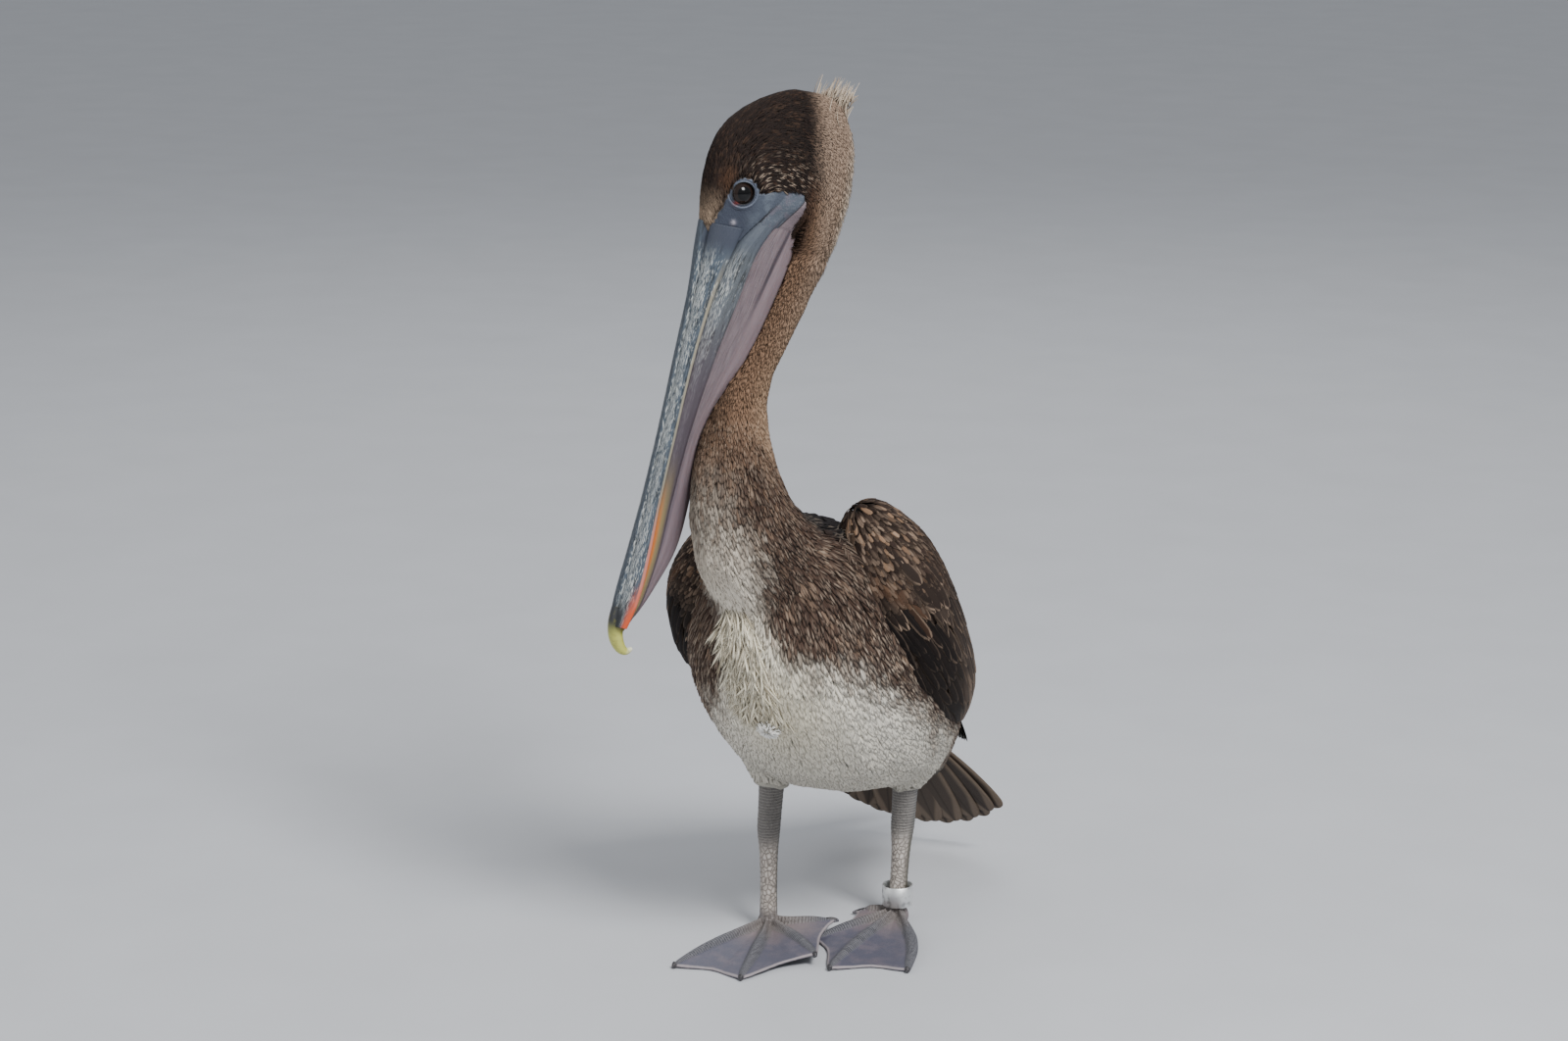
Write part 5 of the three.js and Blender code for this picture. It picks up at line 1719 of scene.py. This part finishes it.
def foot_sheet(side):
    """Toes and webs as one closed sheet, and the line of its front edge."""
    shares = np.linspace(0.05, 1, 90)
    turn = -1 if side == "left" else 1
    tops, lows = [], []

    def spoke(toe, edge, share):
        spots, radius, across = toe_line(side, toe, share)
        freed = np.minimum(share / 0.35, 1)
        flat = spots + across * (turn * edge * radius * freed)[:, None]
        return flat, np.maximum(radius * math.sqrt(max(1 - edge * edge, 0)), WEB_DEPTH)

    def add(flat, top, low):
        tops.append(np.column_stack([flat[:, :2], top]))
        lows.append(np.column_stack([flat[:, :2], low]))

    for toe in range(4):
        for edge in (-1, -0.75, -0.4, 0, 0.4, 0.75, 1):
            share = shares * (0.9 if abs(edge) == 1 else 1)
            flat, depth = spoke(toe, edge, share)
            ring = 0.6 * (1 - abs(edge)) * np.maximum(np.sin(share * 170), 0)
            add(flat, flat[:, 2] + depth + 0.4 * ring, flat[:, 2] - depth)
        if toe == 3:
            continue
        for part in np.linspace(0, 1, 9)[1:-1]:
            sag = math.sin(math.pi * part)
            share = shares * (0.9 - 0.14 * sag)
            near, far = spoke(toe, 1, share)[0], spoke(toe + 1, -1, share)[0]
            flat = near * (1 - part) + far * part
            level = np.maximum(flat[:, 2] - 1.6 * sag, 1.6)
            pleat = 0.25 * np.sin(part * 19 + share * 5) * np.sin(share * 9)
            add(flat, level + WEB_DEPTH + pleat, level - WEB_DEPTH)
    tops, lows = np.array(tops).swapaxes(0, 1), np.array(lows).swapaxes(0, 1)
    rings = [np.vstack([top, low[::-1]]) for top, low in zip(tops, lows)]
    points, faces = loft(rings)
    sides = (len(rings) - 1) * len(rings[0])
    faces = ribbon_ends(faces[:sides], len(rings), len(tops[0]))
    points = points[:-2]
    points[:, 2] = np.maximum(points[:, 2], 0)
    return place(points), faces, place(tops[-1])


def leg_rings(side):
    heel, top = np.array(LEGS[side]["heel"], float), np.array(LEGS[side]["top"], float)
    ankle = ball_of(side)
    knots = [(*ankle, 7.4, 9.5), (*(ankle + 0.34 * (heel - ankle)), 6.8, 9),
             (*(ankle + 0.72 * (heel - ankle)), 7.4, 9.5), (*heel, 9.2, 11.4),
             (*((heel + top) / 2), 9.6, 11), (*(heel + 1.3 * (top - heel)), 10.6, 12)]
    ahead = foot_ahead(side)
    across = unit(np.cross(UP, ahead))
    rings = []
    for x, y, z, half, depth in rows_at(knots, np.linspace(0, 1, 150)):
        rib = 0.28 * math.sin(z * 2.1) * smooth(z, 74, 84) + 0.12 * math.sin(z * 1.3)
        rings.append(oval_ring(place((x, y, z)), across, ahead, half + rib, depth + rib, 40))
    return rings


def foot_mesh(side):
    """Leg, ball and webbed toes as one skin, with its measures for the paint."""
    x, y = LEGS[side]["ankle"]
    ball = [oval_ring(place((x, y, z)), LEFT, np.array([0, 1.0, 0]), r, r, 24)
            for z, r in ((0, 9.2), (3, 10), (6, 9.8), (9, 8.8), (12, 7.4), (14, 6))]
    *sheet, edge = foot_sheet(side)
    source = mesh_of("foot_source", *joined([loft(leg_rings(side)), loft(ball), sheet]))
    mesh = remeshed(f"leg_and_foot_{side}", source, settings("feet").voxel, 2)
    spots = points_of(mesh)
    spots[:, 2] = np.maximum(spots[:, 2], 0)
    move_points(mesh, spots)
    local = (spots - ORIGIN) / MM
    nearest = np.full(len(local), 1e9)
    reach = np.zeros(len(local))
    share = np.linspace(0.02, 1, 120)
    for toe in range(4):
        line, radius = toe_line(side, toe, share)[:2]
        gaps = np.linalg.norm(local[:, None, :2] - line[None, :, :2], axis=2)
        best = gaps.argmin(1)
        gap = gaps[np.arange(len(local)), best] / radius[best]
        length = np.linalg.norm(line[-1] - line[0])
        reach = np.where(gap < nearest, share[best] * length, reach)
        nearest = np.minimum(nearest, gap)
    steps = np.linspace(0, len(edge) - 1, 600)
    edge = np.stack([np.interp(steps, np.arange(len(edge)), column) for column in edge.T], 1)
    tree = tree_of(edge)
    gap = np.array([tree.find(spot)[2] for spot in spots]) / MM
    front = (local - np.array([*LEGS[side]["ankle"], 0.0])) @ foot_ahead(side)
    store(mesh, rim=0.6 * smooth(-gap, -1.9, -1.2), front=smooth(front, -1, 5),
          web=smooth(nearest, 0.8, 1.3), reach=reach, height=local[:, 2])
    mesh.shade_smooth()
    return mesh


def claws_mesh(side):
    """Short hooked claws at the ends of the toes."""
    steps = 16
    claws = []
    for toe in range(4):
        line, radius, across = toe_line(side, toe, np.linspace(claw_start(side, toe), 1, steps))
        t = np.linspace(0, 1, steps)
        size = 2.5 * (1 - t) ** 0.7 + 0.35
        lift = 0.9 * np.sin(math.pi * t)
        spots = line + UP * lift[:, None]
        spots[:, 2] = np.maximum(spots[:, 2], size + 0.05)
        claws.append(loft([oval_ring(place(spot), way, UP, r * 0.8, r, 14)
                           for spot, way, r in zip(spots, across, size)]))
    return mesh_of(f"claws_{side}", *joined(claws))


def band_mesh():
    """A flat metal ring with rounded edges and a butted seam."""
    ankle, heel = LEGS["left"]["ankle"], LEGS["left"]["heel"]
    share = BAND["bottom"] / heel[2]
    x, y = ankle[0] + share * (heel[0] - ankle[0]), ankle[1]
    inner, outer = BAND["inner"], BAND["inner"] + BAND["wall"]
    low, high, soft = BAND["bottom"], BAND["bottom"] + BAND["height"], BAND["rounding"]
    profile = [(inner, low + soft), (inner + soft, low), (outer - soft, low), (outer, low + soft),
               (outer, high - soft), (outer - soft, high), (inner + soft, high), (inner, high - soft)]
    rings = []
    for turn in np.radians(np.linspace(101, 459, 97)):
        rings.append([place((x + r * math.cos(turn), y + r * math.sin(turn), z)) for r, z in profile])
    return mesh_of("leg_ring", *loft(rings))


# ---------------------------------------------------------------- operators
class PELICAN_OT_skin(bpy.types.Operator):
    """Make the one skin under the plumage, with the bare face and lids"""
    bl_idname = "pelican.skin"
    bl_label = "Skin"

    def execute(self, context):
        mesh = make_skin()
        points = points_of(mesh)
        side, s, n = head_coordinates(points)
        on_side = (np.abs(side) > 8) & (s < 0)
        store(mesh, ground=plumage_colour(points), bare=in_face(points), face=np.stack([side, s, n], 1),
              corner=hump(reach_from(EYE_CORNER, s, n), 0, 1.9) * on_side,
              wart=hump(reach_from(WART, s, n), 0, 1.8) * on_side)
        piece("skin", mesh, FLESH, skin_paint())
        return {"FINISHED"}


class PELICAN_OT_coats(bpy.types.Operator):
    """Lay the small feathers of head, neck and body over the skin"""
    bl_idname = "pelican.coats"
    bl_label = "Body feathers"

    def execute(self, context):
        skin = bpy.data.objects["skin"]
        seed = settings("plumage").seed
        vanes = {name: vane_mesh(f"vane_{name}", *shape) for name, shape in VANES.items()}
        plush = plumage_paint("plush_feathers", (2, 3), tone(176, 156, 134), tone(60, 48, 42),
                              variation=0.24, root_shade=0.24, sheen=0.02)
        soft = plumage_paint("soft_feathers", (3, 5), tone(192, 174, 154), tone(58, 46, 40),
                             root_shade=0.14, sheen=0.03)

        def bare(points):
            return in_face(points, 0.02) | on_bill_base(points)

        def spacing(points):
            return feather_size(points)[2]

        def region(shift, name, kind, wanted, nodes, slot, paint, fleck):
            spots, ups = sow(skin.data, spacing, wanted, seed + shift)
            length, width = feather_size(spots)[:2]
            side, s, n = head_coordinates(spots)
            fuzz = smooth(-n, 97, 106) * smooth(-s, -40, 20)
            rise = coat_depth(spots) * (0.5 - 0.2 * pale_share(spots)) + 3.4 * fuzz
            high = smooth(spots[:, 2] / MM, 250, 340)
            strength = fleck * (1 - 0.75 * pale_share(spots)) * (1 - 0.55 * high)
            roots = roots_for(spots, ups, length + 3 * fuzz, width, seed + shift, spread=7 + 14 * fuzz,
                              rise=rise, fleck=strength)
            lay_vanes(name, roots, vanes[kind], skin, paint, nodes)

        def body(points):
            return ~in_head(points) & ~in_neck(points) & ~near_wing(points, -4)

        def behind(points):
            return body_coordinates(points)[1] >= BREAST_END

        def on_back(points):
            return body_coordinates(points)[2] >= BACK_HEIGHT

        rows = [
            ("head_coat", "plush", lambda p: in_head(p) & ~bare(p), ["head"], "head_feathers", plush, 0),
            ("upper_neck_coat", "plush", lambda p: in_neck(p) & upper_neck(p) & ~bare(p), ["neck_upper"],
             "neck_feathers", plush, 0.2),
            ("lower_neck_coat", "breast", lambda p: in_neck(p) & ~upper_neck(p), ["neck_lower"],
             "neck_feathers", soft, 0.6),
            ("breast_coat", "breast", lambda p: body(p) & ~on_back(p) & ~behind(p), ["trunk"],
             "breast_feathers", soft, 0.65),
            ("belly_coat", "breast", lambda p: body(p) & ~on_back(p) & behind(p),
             ["trunk", "thigh_left", "thigh_right"], "breast_feathers", soft, 0.8)]
        for shift, row in enumerate(rows):
            region(shift, *row)
        spots, ups = sow(skin.data, lambda p: 5.0, lambda p: body(p) & on_back(p), seed + 5)
        roots = roots_for(spots, ups, 26, 9, seed + 5, thickness=0.8, spread=7, edge=0.1)
        dark = plumage_paint("back_feathers", (6, 10), tone(60, 52, 48), tone(20, 18, 18), sheen=0.0)
        lay_vanes("back_coat", roots, vanes["covert"], skin, dark, ["trunk"])
        return {"FINISHED"}


class PELICAN_OT_tuft(bpy.types.Operator):
    """Loosen the creamy strands and the white ball of down on the breast"""
    bl_idname = "pelican.tuft"
    bl_label = "Breast tuft"

    def execute(self, context):
        skin = bpy.data.objects["skin"]
        seed = settings("plumage").seed + SEEDS["tuft"]
        paint = plumage_paint("tuft_feathers", (3, 5), tone(236, 230, 212), tone(150, 140, 120),
                              variation=0.5, root_shade=0.5, sheen=0.04)
        vane = bpy.data.objects["vane_breast"]

        def in_tuft(points):
            return (line_gap(points, TUFT) < TUFT_REACH) & (ball_gap(points) > BALL_GAP)

        spots, ups = sow(skin.data, lambda p: 1.9, in_tuft, seed)
        chance = np.random.default_rng(seed + 5)
        number = len(spots)
        length = chance.uniform(*TUFT_LENGTHS, number)
        length = np.minimum(length, np.maximum(ball_gap(spots) - 5, 6))
        rise = chance.uniform(1.5, 6, number) * smooth(length, 0, TUFT_LENGTHS[0])
        roots = roots_for(spots, ups, length, 1.9, seed, spread=19, fleck=0.6, base=1.8, rise=rise)
        creamy = mixed(tone(240, 231, 206), tone(160, 146, 120), chance.random(number) ** 2)
        # Near the ball the strands keep more of the ground, with its painted shade round the ball.
        shade_round_ball = hump(ball_gap(spots), 10, 3)
        roots["ground"] = mixed(roots["ground"], creamy, 0.85 - 0.7 * shade_round_ball)
        heart = on_mesh(skin.data, [body_point(*BALL)])[0][0]

        def from_heart(points):
            return np.linalg.norm(points - heart, axis=1) / MM

        ball, tops = sow(skin.data, lambda p: 0.8, lambda p: from_heart(p) < BALL_REACH, seed + 1)
        dome = 3 + BALL_DOME * np.sqrt(np.maximum(1 - (from_heart(ball) / 7.2) ** 2, 0))
        fluff = roots_for(ball, tops, 4, 1.2, seed + 1, thickness=0.4, spread=25, base=dome, rise=0.4,
                          lie=lambda p: p - heart + TAILWARD * MM - UP * MM)
        fluff["ground"] = np.tile(tone(252, 250, 244), (len(ball), 1))
        fluff["marks"][:, 2] = 0.6
        both = {key: np.concatenate([roots[key], fluff[key]]) for key in roots}
        lay_vanes("breast_tuft", both, vane, skin, paint, ["trunk"])
        return {"FINISHED"}


class PELICAN_OT_wings(bpy.types.Operator):
    """Lay the coverts and long feathers of both folded wings"""
    bl_idname = "pelican.wings"
    bl_label = "Wings"

    def execute(self, context):
        seed = settings("plumage").seed + SEEDS["wings"]
        plumage = settings("plumage")
        vane, long_vane = bpy.data.objects["vane_covert"], bpy.data.objects["vane_long"]
        paint = plumage_paint("wing_feathers", (6, 10), plumage.pale_edge, tone(40, 33, 30),
                              roughness=0.7, variation=0.4, sheen=0)
        flight = plumage_paint("flight_feathers", (18, 60), tone(150, 132, 114), tone(30, 26, 25),
                               roughness=0.5, variation=0.2, sheen=0)
        for sign, side in SIDES.items():
            core = wing_core(sign)
            move_points(core, points_of(core) - MM * COAT_DEPTH["wing"] * normals_of(core))
            helper = linked(f"wing_core_{side}", core)
            lay_vanes(f"wing_coverts_{side}", small_coverts(core, sign, seed + sign), vane, helper, paint,
                      [f"wing_{side}"])
            lay_vanes(f"wing_long_feathers_{side}", long_rows(core, sign, seed + 3 + sign), long_vane,
                      helper, paint, [f"wing_{side}"])
            bpy.data.objects.remove(helper)
            piece(f"primary_feathers_{side}", primaries_mesh(sign), [f"primaries_{side}"],
                  flight)
        piece("tail_feathers", tail_mesh(), ["tail"], flight)
        return {"FINISHED"}


class PELICAN_OT_crest(bpy.types.Operator):
    """Raise the short ragged crest at the back of the head"""
    bl_idname = "pelican.crest"
    bl_label = "Crest"

    def execute(self, context):
        seed = settings("plumage").seed + SEEDS["crest"]
        paint = plumage_paint("crest_feathers", (3, 4), tone(220, 206, 188), tone(120, 96, 76))
        chance = np.random.default_rng(seed)
        quills, grounds = [], []
        for k in range(CREST_FEATHERS):
            back = chance.random()
            s, n = -84 - 28 * back, chance.uniform(-101, -76)
            side = chance.normal(0, 5.5)
            root = head_point(side, s, n)
            reach = chance.uniform(0.35, 1) ** 1.3
            tip = head_point(side * 1.05 + chance.normal(0, 1.5), s - (14 + 6 * back) * reach,
                             n - 3 + 9 * (1 - back) * chance.random() + chance.normal(0, 1.6))
            if np.any(head_coordinates(tip)[1:] < CREST_LIMITS):
                continue
            shade = mixed(tone(104, 80, 62), tone(214, 198, 176), chance.random() * 0.6 + 0.4 * reach)
            face = RIDGE_WAY + 0.3 * HEAD_SIDE * chance.normal()
            quills.append(quill(root, tip, face, half_width=0.55, thickness=0.2, bow=1, lines=(5, 3)))
            grounds.append(shade)
        mesh = joined_quills("crest_feathers", quills, grounds, seed, edge=0)
        piece("crest_feathers", mesh, ["crest"], paint)
        return {"FINISHED"}


class PELICAN_OT_bill(bpy.types.Operator):
    """Make the upper and lower bill, the nail and the pouch"""
    bl_idname = "pelican.bill"
    bl_label = "Bill"

    def execute(self, context):
        bill = settings("bill")

        def pouch_half(row, height):
            return row[4] + (row[3] - row[4]) * height + POUCH_EXTRA

        piece("upper_bill", upper_bill_mesh(), ["bill_upper"],
              horn_paint("upper_horn", tuple(bill.horn), 0.85))
        lower = oval_bill_mesh("lower_bill", BILL_LOWER, lambda row, height: row[3], steps=110,
                               around=36, roundness=LOWER_ROUNDNESS)
        piece("lower_bill", lower, ["bill_lower"],
              horn_paint("lower_horn", tone(88, 94, 100), 0.5, lower=True))
        pouch = oval_bill_mesh("pouch_skin", POUCH, pouch_half, steps=150, around=56,
                               roundness=POUCH_ROUNDNESS, folds=0.5)
        piece("pouch_skin", pouch, ["pouch"], pouch_paint())
        piece("nail", nail_mesh(), ["bill_nail"], nail_paint())
        return {"FINISHED"}


class PELICAN_OT_eyes(bpy.types.Operator):
    """Set the eyeballs in their openings"""
    bl_idname = "pelican.eyes"
    bl_label = "Eyes"

    def execute(self, context):
        paint = eye_paint()
        for sign, side in SIDES.items():
            piece(f"eyeball_{side}", eye_mesh(sign), [f"eye_{side}"], paint)
        return {"FINISHED"}


class PELICAN_OT_feet(bpy.types.Operator):
    """Make legs, webbed feet, claws and the leg ring"""
    bl_idname = "pelican.feet"
    bl_label = "Legs and feet"

    def execute(self, context):
        skin, horn = leg_paint(), claw_paint()
        for side in SIDES.values():
            nodes = [f"leg_{side}", f"foot_{side}"]
            piece(f"leg_and_foot_{side}", foot_mesh(side), nodes, skin)
            piece(f"claws_{side}", claws_mesh(side), [f"foot_{side}"], horn)
        piece("leg_ring", band_mesh(), ["leg_band"], band_paint())
        return {"FINISHED"}


class PELICAN_OT_stage(bpy.types.Operator):
    """Set the floor, the lights and the camera"""
    bl_idname = "pelican.stage"
    bl_label = "Stage"

    def execute(self, context):
        look = settings("stage")
        corners = [(x * FLOOR_HALF, y * FLOOR_HALF, 0) for x, y in ((-1, -1), (1, -1), (1, 1), (-1, 1))]
        mesh = bpy.data.meshes.new("floor")
        mesh.from_pydata(corners, [], [(0, 1, 2, 3)])
        floor = linked("floor", mesh)
        paint = Paint("floor", Specular_IOR_Level=0.2)
        fine = paint.noise(paint.coordinates(), 9, 5)
        shade = paint.mix(look.floor, tuple(0.9 * c for c in look.floor), fine)
        mesh.materials.append(paint.finish(shade, 0.8 + fine * 0.1))
        world = bpy.data.worlds.new("studio")
        world.use_nodes = True
        sky = world.node_tree.nodes["Background"].inputs
        sky["Color"].default_value = SKY
        sky["Strength"].default_value = SKY_STRENGTH
        context.scene.world = world
        for name, (spot, size, power) in LIGHTS.items():
            light = bpy.data.lights.new(name, "AREA")
            light.energy = getattr(look, power)
            light.size = size
            lamp = bpy.data.objects.new(name, light)
            lamp.location = spot
            lamp.rotation_euler = (Vector(LIGHTS_AIM) - lamp.location).to_track_quat("-Z", "Y").to_euler()
            context.scene.collection.objects.link(lamp)
        camera = bpy.data.objects.new("camera", bpy.data.cameras.new("camera"))
        camera.data.lens = CAMERA_LENS
        camera.location = place(CAMERA_PLACE)
        level = cosine(CAMERA_PITCH)
        forward = Vector((-sine(CAMERA_YAW) * level, cosine(CAMERA_YAW) * level, -sine(CAMERA_PITCH)))
        camera.rotation_euler = forward.to_track_quat("-Z", "Y").to_euler()
        context.scene.collection.objects.link(camera)
        context.scene.camera = camera
        return {"FINISHED"}


OPERATORS = [PELICAN_OT_stage, PELICAN_OT_skin, PELICAN_OT_coats, PELICAN_OT_tuft, PELICAN_OT_wings,
             PELICAN_OT_crest, PELICAN_OT_bill, PELICAN_OT_eyes, PELICAN_OT_feet]
GROUPS = {"plumage": PelicanPlumage, "bill": PelicanBill, "feet": PelicanFeet, "stage": PelicanStage}


class PELICAN_PT_panel(bpy.types.Panel):
    """The bird's pieces and their sizes and colours"""
    bl_idname = "PELICAN_PT_panel"
    bl_label = "Pelican"
    bl_space_type = "VIEW_3D"
    bl_region_type = "UI"
    bl_category = "Pelican"

    def draw(self, context):
        for part, group in GROUPS.items():
            box = self.layout.box()
            box.label(text=part.capitalize())
            for name in group.__annotations__:
                box.prop(settings(part), name)
        for operator in OPERATORS:
            self.layout.operator(operator.bl_idname)


def register():
    for made in [*GROUPS.values(), *OPERATORS, PELICAN_PT_panel]:
        bpy.utils.register_class(made)
    for part, group in GROUPS.items():
        setattr(bpy.types.Scene, f"pelican_{part}", PointerProperty(type=group))


def unregister():
    for part in GROUPS:
        delattr(bpy.types.Scene, f"pelican_{part}")
    for made in [PELICAN_PT_panel, *OPERATORS[::-1], *GROUPS.values()]:
        bpy.utils.unregister_class(made)


def main():
    register()
    for operator in OPERATORS:
        group, name = operator.bl_idname.split(".")
        getattr(getattr(bpy.ops, group), name)()
    for helper in [made for made in bpy.data.objects if made.name.startswith("vane_")]:
        bpy.data.objects.remove(helper)


if __name__ == "__main__":
    main()
